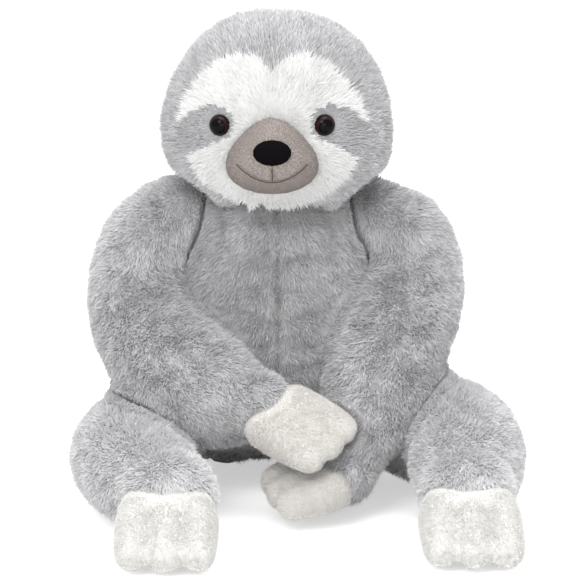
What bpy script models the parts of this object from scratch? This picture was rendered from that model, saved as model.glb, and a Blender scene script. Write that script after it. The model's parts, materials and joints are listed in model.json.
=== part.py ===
"""Seated plush sloth: fur panels over fibre filling, with jointed head, arms, wrist, hips and ankles.

Frame: +Z up, the toy faces -Y, +X is the toy's left. The origin is the middle of the flat seat.
"""

import math

import bmesh
import bpy
from mathutils import Matrix, Vector

# Clearances and fabric
GAP = 0.0003
LEG_RELIEF = 0.003
ARM_RELIEF = 0.002
PAW_RELIEF = 0.002
FOOT_RELIEF = 0.001
OVERRUN = 1.0
SEAT_CUT = 0.0005
SEAT_PRESS = 0.006
FUR_DEPTH = 0.012
LINING_DEPTH = 0.018
VELVET_DEPTH = 0.004

# Torso
TORSO_HEIGHT = 0.42
TORSO_HALF_WIDTH = 0.160
TORSO_HALF_DEPTH = 0.150
TORSO_SETBACK = 0.020
SEAT_PANEL_HEIGHT = 0.036
SEAT_LINING_DEPTH = 0.028
SIDE_SEAM_SETBACK = 0.026
TORSO_STATION_SHARES = (
    (-0.02, 0.36, 0.36, -0.12),
    (0.00, 0.80, 0.70, -0.12),
    (0.07, 0.92, 0.84, -0.12),
    (0.18, 1.00, 0.98, 0.02),
    (0.33, 0.93, 1.00, 0.10),
    (0.50, 0.89, 0.97, 0.10),
    (0.68, 0.90, 0.90, 0.10),
    (0.84, 0.90, 0.85, 0.12),
    (0.95, 0.70, 0.70, 0.13),
    (1.00, 0.44, 0.44, 0.13),
)

# Neck: the head turns and tips back on a ball of filling
NECK_HEIGHT = 0.360
NECK_SETBACK = 0.000
NECK_RADIUS = 0.125
NECK_OPENING_RADIUS = 0.062
NECK_BALL_RADIUS = 0.080
NECK_ROLL_RADIUS = 0.135
NECK_ROLL_SEGMENTS = 24
HEAD_TURN = math.radians(25)
HEAD_TURN_STEPS = 4
SHOULDER_RELIEF = 0.006

# Head
HEAD_HEIGHT = 0.297
HEAD_HALF_WIDTH = 0.174
HEAD_HALF_DEPTH = 0.150
CHIN_HEIGHT = 0.403
HEAD_FORWARD = 0.045
HEAD_LEAN = 0.010
HEAD_STATION_SHARES = (
    (0.00, 0.36, 0.36, 0.16),
    (0.10, 0.76, 0.74, 0.10),
    (0.28, 1.00, 0.98, 0.03),
    (0.50, 0.98, 1.02, 0.00),
    (0.70, 0.88, 0.95, -0.02),
    (0.86, 0.70, 0.76, -0.04),
    (0.96, 0.44, 0.48, -0.05),
    (1.00, 0.20, 0.22, -0.05),
)

# Face
FACE_SHIFT = -0.008
FACE_HALF_WIDTH = 0.138
EYE_HEIGHT_ABOVE_CHIN = 0.144
FACE_TOP_ABOVE_EYES = 0.098
FACE_NOTCH_ABOVE_EYES = 0.073
FACE_BOTTOM_BELOW_EYES = 0.133
FACE_OUTLINE_SHARES = (
    (0.00, 0.890),
    (0.16, 0.990),
    (0.34, 1.000),
    (0.55, 0.955),
    (0.76, 0.840),
    (0.92, 0.690),
    (0.98, 0.570),
    (0.92, 0.450),
    (0.86, 0.340),
    (0.78, 0.240),
    (0.60, 0.145),
    (0.32, 0.045),
    (0.00, 0.000),
)
EYE_HALF_SPACING = 0.0763
EYE_RADIUS = 0.0140
EYE_BULGE = 0.0100
EYE_DOME_SHARES = (0.20, 0.42, 0.64, 0.84)
EYE_STEM_RADIUS = 0.0030
EYE_STEM_LENGTH = 0.0260
EYE_SEAT_DEPTH = 0.0060
WASHER_RADIUS = 0.0120
WASHER_THICKNESS = 0.0015
WASHER_COLLAR_HEIGHT = 0.0030
WASHER_CLEARANCE = 0.0004
WASHER_ROOM_DEPTH = 0.0300
SKIN_AT_EYE = 0.0045
PATCH_LENGTH = 0.092
PATCH_HALF_WIDTH = 0.030
PATCH_SLANT = math.radians(24)
PATCH_OUTLINE_SHARES = (
    (-0.26, 0.30),
    (-0.19, 0.70),
    (-0.07, 0.98),
    (0.10, 1.06),
    (0.30, 1.00),
    (0.50, 0.80),
    (0.66, 0.56),
    (0.95, 0.64),
    (1.10, -0.70),
    (0.66, -0.90),
    (0.46, -0.80),
    (0.26, -0.72),
    (0.08, -0.70),
    (-0.06, -0.66),
    (-0.18, -0.44),
    (-0.25, -0.10),
)

# Muzzle and nose
MUZZLE_HALF_WIDTH = 0.064
MUZZLE_HALF_HEIGHT = 0.058
MUZZLE_BELOW_EYES = 0.041
MUZZLE_ROOT = 0.150
MUZZLE_FRONT = 0.246
MUZZLE_NARROWING_SHARE = 0.36
MUZZLE_STATION_SHARES = (
    (0.00, 1.06, 1.06, 0.00),
    (0.35, 1.00, 1.00, 0.00),
    (0.66, 0.84, 0.84, 0.02),
    (0.88, 0.56, 0.58, 0.06),
    (0.99, 0.24, 0.26, 0.08),
)
NOSE_HALF_WIDTH = 0.0275
NOSE_HALF_HEIGHT = 0.0185
NOSE_HALF_DEPTH = 0.0100
NOSE_ABOVE_MUZZLE = 0.009
THREAD_RADIUS = 0.0010
THREAD_CLEARANCE = 0.0006
MOUTH_HALF_WIDTH = 0.048
MOUTH_CORNER_BELOW_MUZZLE = 0.009
MOUTH_SAG = 0.023
LIP_TOP_BELOW_MUZZLE = 0.012
LIP_LENGTH = 0.017
MOUTH_POINTS = 13

# Arms: the shoulders share one axis across the body
SHOULDER_HALF_SPACING = 0.150
SHOULDER_HEIGHT = 0.380
SHOULDER_FORWARD = -0.010
SHOULDER_RADIUS = 0.068
SHOULDER_OPENING_RADIUS = 0.036
SHOULDER_BALL_RADIUS = 0.046
UPPER_ARM_RADIUS = 0.080
RIGHT_ELBOW_RADIUS = 0.083
LEFT_ELBOW_RADIUS = 0.082
RIGHT_FOREARM_RADIUS = 0.094
LEFT_FOREARM_RADIUS = 0.085
RIGHT_LOWER_FOREARM_RADIUS = 0.082
LEFT_LOWER_FOREARM_RADIUS = 0.064
RIGHT_WRIST_RADIUS = 0.052
LEFT_WRIST_RADIUS = 0.046
ARM_SIDE_CLEARANCE = 0.1465
ARM_RELIEF_FORWARD = 0.020
TUBE_END_SHARE = 0.90
LOBE_HOLLOW_SHARE = 0.34
LOBE_STAGGER = 0.0024
PRESS_LINING_DEPTH = 0.015
SHARP_ANGLE = math.radians(50)
FLAT_ANGLE = math.radians(0.1)
MERGE_DISTANCE = 0.0001
DELTOID_OUT = 0.178
DELTOID_FORWARD = -0.004
DELTOID_HEIGHT = 0.382

RIGHT_UPPER_ARM_OUT = 0.214
RIGHT_UPPER_ARM_FORWARD = 0.002
RIGHT_UPPER_ARM_HEIGHT = 0.312
RIGHT_ELBOW_OUT = 0.212
RIGHT_ELBOW_FORWARD = 0.055
RIGHT_ELBOW_HEIGHT = 0.241
RIGHT_FOREARM_OUT = 0.130
RIGHT_FOREARM_FORWARD = 0.168
RIGHT_FOREARM_HEIGHT = 0.172
RIGHT_LOWER_FOREARM_OUT = 0.074
RIGHT_LOWER_FOREARM_FORWARD = 0.208
RIGHT_LOWER_FOREARM_HEIGHT = 0.160
RIGHT_WRIST_OUT = 0.028
RIGHT_WRIST_FORWARD = 0.238
RIGHT_WRIST_HEIGHT = 0.160

LEFT_UPPER_ARM_OUT = 0.210
LEFT_UPPER_ARM_FORWARD = 0.000
LEFT_UPPER_ARM_HEIGHT = 0.318
LEFT_ELBOW_OUT = 0.196
LEFT_ELBOW_FORWARD = 0.058
LEFT_ELBOW_HEIGHT = 0.256
LEFT_FOREARM_OUT = 0.140
LEFT_FOREARM_FORWARD = 0.165
LEFT_FOREARM_HEIGHT = 0.190
LEFT_LOWER_FOREARM_OUT = 0.121
LEFT_LOWER_FOREARM_FORWARD = 0.219
LEFT_LOWER_FOREARM_HEIGHT = 0.128
LEFT_WRIST_OUT = 0.094
LEFT_WRIST_FORWARD = 0.268
LEFT_WRIST_HEIGHT = 0.068

# Paws: three fingers side by side
FINGER_HALF_WIDTH = 0.0255
FINGER_HALF_THICKNESS = 0.0290
FINGER_SPACING = 0.0330
RIGHT_PAW_REACH_OUT = -0.108
RIGHT_PAW_REACH_FORWARD = 0.084
RIGHT_PAW_REACH_HEIGHT = -0.042
RIGHT_PAW_SPREAD_SHARES = (0.60, 0.64, 0.48)
LEFT_PAW_REACH_OUT = -0.100
LEFT_PAW_REACH_FORWARD = 0.028
LEFT_PAW_REACH_HEIGHT = -0.024
LEFT_PAW_SPREAD_SHARES = (0.20, 0.92, 0.34)
FINGER_STATION_SHARES = (
    (0.10, 0.95, 1.00),
    (0.45, 1.05, 1.05),
    (0.86, 0.96, 0.84),
)

# Legs
HIP_HALF_SPACING = 0.125
HIP_HEIGHT = 0.092
HIP_FORWARD = -0.020
HIP_RADIUS = 0.084
HIP_SWING = math.radians(20)
HIP_SWING_SHARES = (0.5, 1.0)
LEG_SEAM_HEIGHT = 0.080
RIGHT_THIGH_OUT = 0.200
RIGHT_THIGH_FORWARD = 0.080
RIGHT_THIGH_HALF_WIDTH = 0.088
RIGHT_THIGH_HALF_HEIGHT = 0.078
RIGHT_KNEE_OUT = 0.228
RIGHT_KNEE_FORWARD = 0.190
RIGHT_KNEE_HALF_WIDTH = 0.087
RIGHT_KNEE_HALF_HEIGHT = 0.077
RIGHT_SHIN_OUT = 0.186
RIGHT_SHIN_FORWARD = 0.300
RIGHT_SHIN_HALF_WIDTH = 0.086
RIGHT_SHIN_HALF_HEIGHT = 0.075
RIGHT_ANKLE_OUT = 0.146
RIGHT_ANKLE_FORWARD = 0.385
RIGHT_ANKLE_RADIUS = 0.068
LEFT_THIGH_OUT = 0.228
LEFT_THIGH_FORWARD = 0.080
LEFT_THIGH_HALF_WIDTH = 0.088
LEFT_THIGH_HALF_HEIGHT = 0.088
LEFT_KNEE_OUT = 0.276
LEFT_KNEE_FORWARD = 0.190
LEFT_KNEE_HALF_WIDTH = 0.090
LEFT_KNEE_HALF_HEIGHT = 0.090
LEFT_SHIN_OUT = 0.258
LEFT_SHIN_FORWARD = 0.295
LEFT_SHIN_HALF_WIDTH = 0.082
LEFT_SHIN_HALF_HEIGHT = 0.084
LEFT_ANKLE_OUT = 0.254
LEFT_ANKLE_FORWARD = 0.370
LEFT_ANKLE_RADIUS = 0.068

# Feet: three toes side by side
TOE_HALF_WIDTH = 0.0260
TOE_HALF_THICKNESS = 0.0480
TOE_SPACING = 0.0420
FOOT_LENGTH = 0.142
TOE_CLEARANCE = 0.0010
TOE_STATION_SHARES = (
    (0.10, 0.96, 1.04),
    (0.46, 1.04, 0.94),
    (0.86, 0.98, 0.56),
)

# Mesh counts and the shape of a rounded end
FORM_SIDES = 12
LIMB_SIDES = 8
FINGER_SIDES = 6
HOLLOW_SIDES = 8
BALL_SEGMENTS = 14
BALL_RINGS = 7
HIDDEN_SEGMENTS = 10
HIDDEN_RINGS = 5
SMALL_SEGMENTS = 16
THREAD_SIDES = 5
END_CAP_SHARES = ((0.58, 0.82), (0.93, 0.44))

FUR_GREY = (0.50, 0.51, 0.53)
FUR_WHITE = (0.86, 0.86, 0.85)
VELVET_WHITE = (0.82, 0.80, 0.77)
VELVET_TAUPE = (0.33, 0.29, 0.27)
NOSE_BLACK = (0.02, 0.02, 0.02)
EYE_BROWN = (0.04, 0.02, 0.01)
WASHER_WHITE = (0.80, 0.80, 0.80)
THREAD_DARK = (0.08, 0.06, 0.05)
FIBRE_WHITE = (0.90, 0.90, 0.90)

FRONT = Vector((0, -1, 0))
UP = Vector((0, 0, 1))
LEFT = Vector((1, 0, 0))

for leftover in list(bpy.data.objects):
    bpy.data.objects.remove(leftover, do_unlink=True)


def new_collection(name):
    """A collection linked to the scene."""
    made = bpy.data.collections.new(name)
    bpy.context.scene.collection.children.link(made)
    return made


PARTS = new_collection("plush_sloth")
CUTTERS = new_collection("cutters")


def new_material(name, colour, roughness):
    """A Principled material of one colour."""
    made = bpy.data.materials.new(name)
    made.use_nodes = True
    shader = made.node_tree.nodes["Principled BSDF"]
    shader.inputs["Base Color"].default_value = (*colour, 1.0)
    shader.inputs["Roughness"].default_value = roughness
    shader.inputs["Metallic"].default_value = 0.0
    return made


GREY_FUR = new_material("grey_fur", FUR_GREY, 0.95)
WHITE_FUR = new_material("white_fur", FUR_WHITE, 0.95)
WHITE_VELVET = new_material("white_velvet", VELVET_WHITE, 0.90)
TAUPE_VELVET = new_material("taupe_velvet", VELVET_TAUPE, 0.85)
BLACK_FLOCK = new_material("black_flock", NOSE_BLACK, 0.70)
EYE_PLASTIC = new_material("eye_plastic", EYE_BROWN, 0.08)
WASHER_PLASTIC = new_material("washer_plastic", WASHER_WHITE, 0.45)
DARK_THREAD = new_material("dark_thread", THREAD_DARK, 0.80)
FIBRE = new_material("fibre", FIBRE_WHITE, 1.00)


def tool_object(name, mesh):
    """A mesh object that only shapes others."""
    made = bpy.data.objects.new(name, mesh)
    CUTTERS.objects.link(made)
    made.hide_render = True
    made.display_type = "WIRE"
    return made


def part_object(name, mesh, material):
    """A named piece of the toy, shaded smooth but for its sharp edges."""
    made = bpy.data.objects.new(name, mesh)
    PARTS.objects.link(made)
    mesh.materials.clear()
    mesh.materials.append(material)
    mesh.shade_smooth()
    mesh.set_sharp_from_angle(angle=SHARP_ANGLE)
    return made


def settled(obj):
    """The object's mesh with its modifiers worked in."""
    bpy.context.view_layer.update()
    graph = bpy.context.evaluated_depsgraph_get()
    mesh = bpy.data.meshes.new_from_object(obj.evaluated_get(graph))
    mesh.name = obj.name
    return mesh


def boolean(obj, other, operation):
    """One boolean modifier."""
    cut = obj.modifiers.new(f"{operation.lower()} {other.name}", "BOOLEAN")
    cut.operation = operation
    cut.solver = "MANIFOLD"
    cut.object = other


def subtract(obj, *others):
    """Cuts the others out of the object."""
    for other in others:
        boolean(obj, other, "DIFFERENCE")
    return obj


def keep_inside(obj, *others):
    """Keeps only what lies inside the others."""
    for other in others:
        boolean(obj, other, "INTERSECT")
    return obj


def joined(name, *others):
    """A cutter that holds several closed forms as one."""
    made = tool_object(name, others[0].data.copy())
    for other in others[1:]:
        boolean(made, other, "UNION")
    return tool_object(name, settled(made))


def grown(form, amount):
    """A copy of a form, pushed out along its normals."""
    made = tool_object(form.name + " grown", form.data.copy())
    push = made.modifiers.new("grow", "DISPLACE")
    push.mid_level = 0.0
    push.strength = amount
    return tool_object(form.name + " clearance", settled(made))


def facing(axis):
    """The turn that brings +Z onto an axis."""
    return axis.to_track_quat("Z", "Y").to_matrix().to_4x4()


def ball(name, centre, radius, axis=UP, segments=BALL_SEGMENTS, rings=BALL_RINGS):
    """A round form on a joint, its poles on the joint's axis."""
    mesh = bpy.data.meshes.new(name)
    shape = bmesh.new()
    place = Matrix.Translation(centre) @ facing(axis)
    bmesh.ops.create_uvsphere(shape, u_segments=segments, v_segments=rings, radius=radius, matrix=place)
    shape.to_mesh(mesh)
    shape.free()
    return tool_object(name, mesh)


def socket(name, centre, radius, axis=UP, segments=BALL_SEGMENTS, rings=BALL_RINGS):
    """A faceted hollow that a ball turns in about its axis; the ball's edges face the hollow's flats."""
    made = ball(name, Vector((0, 0, 0)), radius + GAP, UP, segments, rings)
    widen = 1 / math.cos(math.pi / segments)
    half_step = Matrix.Rotation(math.pi / segments, 4, "Z")
    spread_out = Matrix.Diagonal((widen, widen, 1, 1))
    made.data.transform(Matrix.Translation(centre) @ facing(axis) @ half_step @ spread_out)
    return made


def loose_socket(name, centre, radius, segments=BALL_SEGMENTS, rings=BALL_RINGS):
    """A faceted hollow that a ball of this radius turns in at any angle."""
    facet_share = math.cos(math.pi / segments) * math.cos(math.pi / (2 * rings))
    return ball(name, centre, (radius + GAP) / facet_share, UP, segments, rings)


def block(name, low, high):
    """A box cutter between two corners."""
    mesh = bpy.data.meshes.new(name)
    shape = bmesh.new()
    size = high - low
    place = Matrix.Translation((low + high) / 2) @ Matrix.Diagonal((*size, 1.0))
    bmesh.ops.create_cube(shape, size=1.0, matrix=place)
    shape.to_mesh(mesh)
    shape.free()
    return tool_object(name, mesh)


def half_space(name, point, normal, gap=GAP / 2):
    """A large box whose face lies half a gap off a plane, on the side the normal points to."""
    mesh = bpy.data.meshes.new(name)
    shape = bmesh.new()
    shift = Matrix.Translation((0, 0, OVERRUN + gap))
    place = Matrix.Translation(point) @ facing(normal) @ shift
    bmesh.ops.create_cube(shape, size=2 * OVERRUN, matrix=place)
    shape.to_mesh(mesh)
    shape.free()
    return tool_object(name, mesh)


def rod(name, centre, axis, radius, length, segments=SMALL_SEGMENTS, twist=0.0):
    """A round bar that starts at a point and runs along an axis."""
    mesh = bpy.data.meshes.new(name)
    shape = bmesh.new()
    turn = facing(axis) @ Matrix.Rotation(twist, 4, "Z")
    shift = Matrix.Translation((0, 0, length / 2))
    place = Matrix.Translation(centre) @ turn @ shift
    bmesh.ops.create_cone(
        shape,
        cap_ends=True,
        segments=segments,
        radius1=radius,
        radius2=radius,
        depth=length,
        matrix=place,
    )
    shape.to_mesh(mesh)
    shape.free()
    return tool_object(name, mesh)


def turning_room(name, centre, axis, radius, length, segments=SMALL_SEGMENTS):
    """A faceted hollow that a rod of this radius turns in; the rod's edges face the hollow's flats."""
    half_step = math.pi / segments
    return rod(name, centre, axis, (radius + GAP) / math.cos(half_step), length, segments, half_step)


def cage_factor(sides):
    """How far a subdivided ring shrinks inside its cage."""
    return (2 + math.cos(math.tau / sides)) / 3


def ring_frame(points, index, up_hint):
    """Side and up directions of one section, square to the path."""
    ahead = points[min(index + 1, len(points) - 1)]
    behind = points[max(index - 1, 0)]
    along = (ahead - behind).normalized()
    up = (up_hint - along * up_hint.dot(along)).normalized()
    return along.cross(up), up


def with_round_end(sections):
    """Adds the closing rings past the last section."""
    last, previous = sections[-1], sections[-2]
    tail = (last[0] - previous[0]).normalized()
    end = [
        (last[0] + tail * last[2] * reach, last[1] * size, last[2] * size)
        for reach, size in END_CAP_SHARES
    ]
    return sections + end


def loft(name, sections, sides, up_hint, levels=1, inset=0.0, narrowing_share=0.0, round_end=True):
    """A closed soft form through oval sections: centre, half width, half height."""
    sections = [(centre, width - inset, height - inset) for centre, width, height in sections]
    if round_end:
        sections = with_round_end(sections)
    points = [centre for centre, _, _ in sections]
    factor = cage_factor(sides) if levels else 1.0
    shape = bmesh.new()
    rings = []
    for index, (centre, width, height) in enumerate(sections):
        side, up = ring_frame(points, index, up_hint)
        ring = []
        for step in range(sides):
            angle = math.tau * (step + 0.5) / sides
            across = math.cos(angle) * (1 - narrowing_share * math.sin(angle))
            offset = side * across * width + up * math.sin(angle) * height
            ring.append(shape.verts.new(centre + offset / factor))
        rings.append(ring)
    for lower, upper in zip(rings, rings[1:]):
        for step in range(sides):
            after = (step + 1) % sides
            shape.faces.new((lower[step], lower[after], upper[after], upper[step]))
    shape.faces.new(rings[0][::-1])
    shape.faces.new(rings[-1])
    bmesh.ops.recalc_face_normals(shape, faces=shape.faces)
    mesh = bpy.data.meshes.new(name)
    shape.to_mesh(mesh)
    shape.free()
    cage = tool_object(name + " cage", mesh)
    if levels:
        soften = cage.modifiers.new("soften", "SUBSURF")
        soften.levels = levels
        soften.render_levels = levels
    cage.modifiers.new("flat facets", "TRIANGULATE")
    return tool_object(name, settled(cage))


def station_sections(station_shares, half_width, half_depth, place):
    """Sections of an upright form from its table of shares."""
    return [
        (place(height, forward), half_width * width, half_depth * depth)
        for height, width, depth, forward in station_shares
    ]


def surface_point(form, start, direction):
    """Where a ray from outside first meets the form, and the outward normal there."""
    hit, place, normal, _ = form.ray_cast(start, direction)
    if not hit:
        raise ValueError(f"{form.name} isn't met")
    return place, normal


def add_part(name, source, material, keep=(), cut=()):
    """A finished piece from a form, kept inside some cutters and cut by others."""
    made = tool_object(name + " blank", source.data.copy())
    keep_inside(made, *keep)
    subtract(made, *cut)
    close = made.modifiers.new("close slivers", "WELD")
    close.merge_threshold = MERGE_DISTANCE
    flat = made.modifiers.new("merge flat facets", "DECIMATE")
    flat.decimate_type = "DISSOLVE"
    flat.angle_limit = FLAT_ANGLE
    return part_object(name, settled(made), material)


# The torso, its hollow and its filling
seat_level = half_space("above the floor", Vector((0, 0, 0)), UP, gap=0)


def torso_place(height, forward):
    """Middle of a torso section."""
    y = TORSO_SETBACK - forward * TORSO_HALF_DEPTH
    return Vector((0, y, height * (TORSO_HEIGHT + SEAT_CUT) - SEAT_CUT))


torso_sections = station_sections(
    TORSO_STATION_SHARES, TORSO_HALF_WIDTH, TORSO_HALF_DEPTH, torso_place
)
torso_raw = loft("torso form", torso_sections, FORM_SIDES, FRONT, round_end=False)
lowest = min(vertex.co.z for vertex in torso_raw.data.vertices)
torso_raw.data.transform(Matrix.Translation((0, 0, -lowest - SEAT_PRESS)))
neck_centre = Vector((0, NECK_SETBACK, NECK_HEIGHT))
neck_dome = ball("neck dome", neck_centre, NECK_RADIUS - GAP)
torso_form = joined("torso solid", torso_raw, neck_dome)

torso_hollow_raw = loft(
    "torso hollow", torso_sections, FORM_SIDES, FRONT, levels=0, inset=LINING_DEPTH, round_end=False
)
hollow_floor = half_space("hollow floor", Vector((0, 0, SEAT_LINING_DEPTH)), UP, gap=0)
fill_floor = half_space("filling floor", Vector((0, 0, SEAT_LINING_DEPTH + GAP)), UP, gap=0)
neck_dome_hollow = ball("neck dome hollow", neck_centre, NECK_RADIUS - GAP - FUR_DEPTH)
keep_inside(torso_hollow_raw, grown(torso_raw, -FUR_DEPTH))
torso_hollow_raw = tool_object("torso hollow inside the skin", settled(torso_hollow_raw))
torso_hollow = joined("torso inside", torso_hollow_raw, neck_dome_hollow)
torso_fill = grown(torso_hollow, -GAP)
torso_clearance = grown(torso_form, GAP)


def shoulder_centre(side):
    """Middle of a shoulder ball; side is -1 for the toy's right."""
    return Vector((side * SHOULDER_HALF_SPACING, -SHOULDER_FORWARD, SHOULDER_HEIGHT))


def hip_centre(side):
    """Middle of a hip ball."""
    return Vector((side * HIP_HALF_SPACING, -HIP_FORWARD, HIP_HEIGHT))


SIDES = (("right", -1), ("left", 1))
shoulder_sockets = [
    socket(f"{word} shoulder socket", shoulder_centre(side), SHOULDER_RADIUS, LEFT)
    for word, side in SIDES
]
hip_sockets = [
    socket(f"{word} hip socket", hip_centre(side), HIP_RADIUS) for word, side in SIDES
]
neck_opening = turning_room("neck opening", neck_centre, UP, NECK_OPENING_RADIUS, 2 * NECK_RADIUS)

torso_skin_blank = tool_object("torso skin blank", torso_form.data.copy())
keep_inside(torso_skin_blank, seat_level)
torso_cavity = tool_object("torso cavity blank", torso_hollow.data.copy())
keep_inside(torso_cavity, hollow_floor)
torso_cavity = tool_object("torso cavity", settled(torso_cavity))
subtract(torso_skin_blank, *shoulder_sockets, *hip_sockets, torso_cavity, neck_opening)
torso_skin = tool_object("torso skin", settled(torso_skin_blank))

side_seam = Vector((0, SIDE_SEAM_SETBACK, 0))
in_front = half_space("in front of the side seam", side_seam, FRONT)
behind = half_space("behind the side seam", side_seam, -FRONT)
seat_seam = Vector((0, 0, SEAT_PANEL_HEIGHT))
over_seat = half_space("over the seat seam", seat_seam, UP)
under_seat = half_space("under the seat seam", seat_seam, -UP)
flanks = [half_space(f"{word} of the middle", Vector((0, 0, 0)), LEFT * side) for word, side in SIDES]

for (word, _), flank in zip(SIDES, flanks):
    add_part(f"{word}_chest_panel", torso_skin, GREY_FUR, keep=(in_front, over_seat, flank))
    add_part(f"{word}_back_panel", torso_skin, GREY_FUR, keep=(behind, over_seat, flank))
add_part("seat_panel", torso_skin, GREY_FUR, keep=(under_seat,))

neck_ball_room = socket(
    "neck ball room", neck_centre, NECK_BALL_RADIUS, UP, HIDDEN_SEGMENTS, HIDDEN_RINGS
)
filling_sockets = [
    loose_socket(f"{word} {joint} room", centre(side), radius, HIDDEN_SEGMENTS, HIDDEN_RINGS)
    for word, side in SIDES
    for joint, centre, radius in (
        ("shoulder", shoulder_centre, SHOULDER_RADIUS),
        ("hip", hip_centre, HIP_RADIUS),
    )
]
add_part(
    "torso_stuffing",
    torso_fill,
    FIBRE,
    keep=(fill_floor,),
    cut=(neck_ball_room, neck_opening, *filling_sockets),
)

# The neck filling: a ball with a plug through the neck opening, its top rounded for the head to tip on
neck_plug = rod("neck plug", neck_centre, UP, NECK_OPENING_RADIUS, 2 * NECK_RADIUS)
neck_ball = ball("neck ball", neck_centre, NECK_BALL_RADIUS, UP, HIDDEN_SEGMENTS, HIDDEN_RINGS)
neck_blank = joined("neck blank", neck_ball, neck_plug)
roll_start = neck_centre - LEFT * OVERRUN
neck_roll = rod("neck roll", roll_start, LEFT, NECK_ROLL_RADIUS, 2 * OVERRUN, NECK_ROLL_SEGMENTS)
add_part("neck_stuffing", neck_blank, FIBRE, keep=(neck_roll,))

# The head
head_socket = loose_socket("head socket", neck_centre, NECK_RADIUS)
roll_half_length = NECK_OPENING_RADIUS + GAP
neck_roll_room = turning_room(
    "neck roll room",
    neck_centre - LEFT * roll_half_length,
    LEFT,
    NECK_ROLL_RADIUS,
    2 * roll_half_length,
    NECK_ROLL_SEGMENTS,
)


def head_place(height, forward):
    """Middle of a head section; the crown leans a little to the toy's left."""
    lean = HEAD_LEAN * (2 * height - 1)
    return Vector((lean, -HEAD_FORWARD - forward * HEAD_HALF_DEPTH, CHIN_HEIGHT + height * HEAD_HEIGHT))


head_sections = station_sections(HEAD_STATION_SHARES, HEAD_HALF_WIDTH, HEAD_HALF_DEPTH, head_place)
head_form = loft("head form", head_sections, FORM_SIDES, FRONT, round_end=False)
head_hollow = loft(
    "head hollow", head_sections, FORM_SIDES, FRONT, levels=0, inset=LINING_DEPTH, round_end=False
)
head_hollow_top = half_space(
    "under the crown", Vector((0, 0, CHIN_HEIGHT + HEAD_HEIGHT - 2 * FUR_DEPTH)), -UP, gap=0
)
keep_inside(head_hollow, head_hollow_top)
head_cavity = tool_object("head cavity", settled(head_hollow))

def shoulder_presses(extra):
    """Where the tops of the arms press into the head's underside, as the head turns."""
    presses = []
    for _, side in SIDES:
        top = Vector((side * DELTOID_OUT, -DELTOID_FORWARD, DELTOID_HEIGHT))
        for place, radius in ((top, UPPER_ARM_RADIUS), (shoulder_centre(side), SHOULDER_RADIUS)):
            for step in range(HEAD_TURN_STEPS + 1):
                turn = HEAD_TURN * (2 * step / HEAD_TURN_STEPS - 1)
                centre = Matrix.Rotation(turn, 3, "Z") @ (place - neck_centre) + neck_centre
                presses.append(ball("press", centre, radius + SHOULDER_RELIEF + extra))
    return joined("shoulder presses", *presses)


press = shoulder_presses(0)
deep_press = shoulder_presses(VELVET_DEPTH)
subtract(head_cavity, deep_press)
head_cavity = tool_object("head room", settled(head_cavity))
head_fill = grown(head_cavity, -GAP)
head_skin_blank = tool_object("head skin blank", head_form.data.copy())
subtract(head_skin_blank, press, torso_clearance, head_cavity, head_socket)
head_skin = tool_object("head skin", settled(head_skin_blank))


def outline_prism(name, outline, depth, back):
    """A flat outline in the XZ plane, extruded along Y towards the front."""
    shape = bmesh.new()
    verts = [shape.verts.new((x, back, z)) for x, z in outline]
    face = shape.faces.new(verts)
    pulled = bmesh.ops.extrude_face_region(shape, geom=[face])
    moved = [item for item in pulled["geom"] if isinstance(item, bmesh.types.BMVert)]
    bmesh.ops.translate(shape, vec=FRONT * depth, verts=moved)
    bmesh.ops.recalc_face_normals(shape, faces=shape.faces)
    mesh = bpy.data.meshes.new(name)
    shape.to_mesh(mesh)
    shape.free()
    return tool_object(name, mesh)


def widened(outline, amount):
    """The outline, each point moved out from the outline's middle."""
    middle_x = sum(x for x, _ in outline) / len(outline)
    middle_z = sum(z for _, z in outline) / len(outline)
    result = []
    for x, z in outline:
        away = Vector((x - middle_x, z - middle_z))
        away = away * (1 + amount / away.length)
        result.append((middle_x + away.x, middle_z + away.y))
    return result


def face_outline():
    """The white face: two lobes above the eyes, cheeks and a round chin."""
    bottom = eye_height - FACE_BOTTOM_BELOW_EYES
    height = FACE_TOP_ABOVE_EYES + FACE_BOTTOM_BELOW_EYES
    half = [(across * FACE_HALF_WIDTH, bottom + up * height) for across, up in FACE_OUTLINE_SHARES]
    half[0] = (0, eye_height + FACE_NOTCH_ABOVE_EYES)
    other = [(-x, z) for x, z in half[1:-1]]
    return [(x + FACE_SHIFT, z) for x, z in half + other[::-1]]


def patch_outline(side):
    """The grey patch round an eye, swept out to the side of the face."""
    turn = Matrix.Rotation(-PATCH_SLANT, 2)
    points = []
    for along, across in PATCH_OUTLINE_SHARES:
        place = turn @ Vector((along * PATCH_LENGTH, across * PATCH_HALF_WIDTH))
        x = FACE_SHIFT + side * (EYE_HALF_SPACING + place.x)
        points.append((x, eye_height + place.y))
    return points


eye_height = CHIN_HEIGHT + EYE_HEIGHT_ABOVE_CHIN
muzzle_height = eye_height - MUZZLE_BELOW_EYES
face_back = -HEAD_FORWARD
face_prism = outline_prism("face outline", face_outline(), OVERRUN, face_back)
face_prism_wide = outline_prism(
    "face outline clearance", widened(face_outline(), GAP), 2 * OVERRUN, face_back + GAP
)
patch_prisms = []
patch_prisms_wide = []
for word, side in SIDES:
    outline = patch_outline(side)
    patch_prisms.append(outline_prism(f"{word} patch outline", outline, OVERRUN, face_back))
    patch_prisms_wide.append(
        outline_prism(f"{word} patch clearance", widened(outline, GAP), 2 * OVERRUN, face_back + GAP)
    )

# The muzzle, from inside the head to its front
muzzle_sections = []
for reach, width, tall, lift in MUZZLE_STATION_SHARES:
    middle_y = -MUZZLE_ROOT - reach * (MUZZLE_FRONT - MUZZLE_ROOT)
    middle_z = muzzle_height + lift * MUZZLE_HALF_HEIGHT
    centre = Vector((FACE_SHIFT, middle_y, middle_z))
    muzzle_sections.append((centre, MUZZLE_HALF_WIDTH * width, MUZZLE_HALF_HEIGHT * tall))

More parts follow.
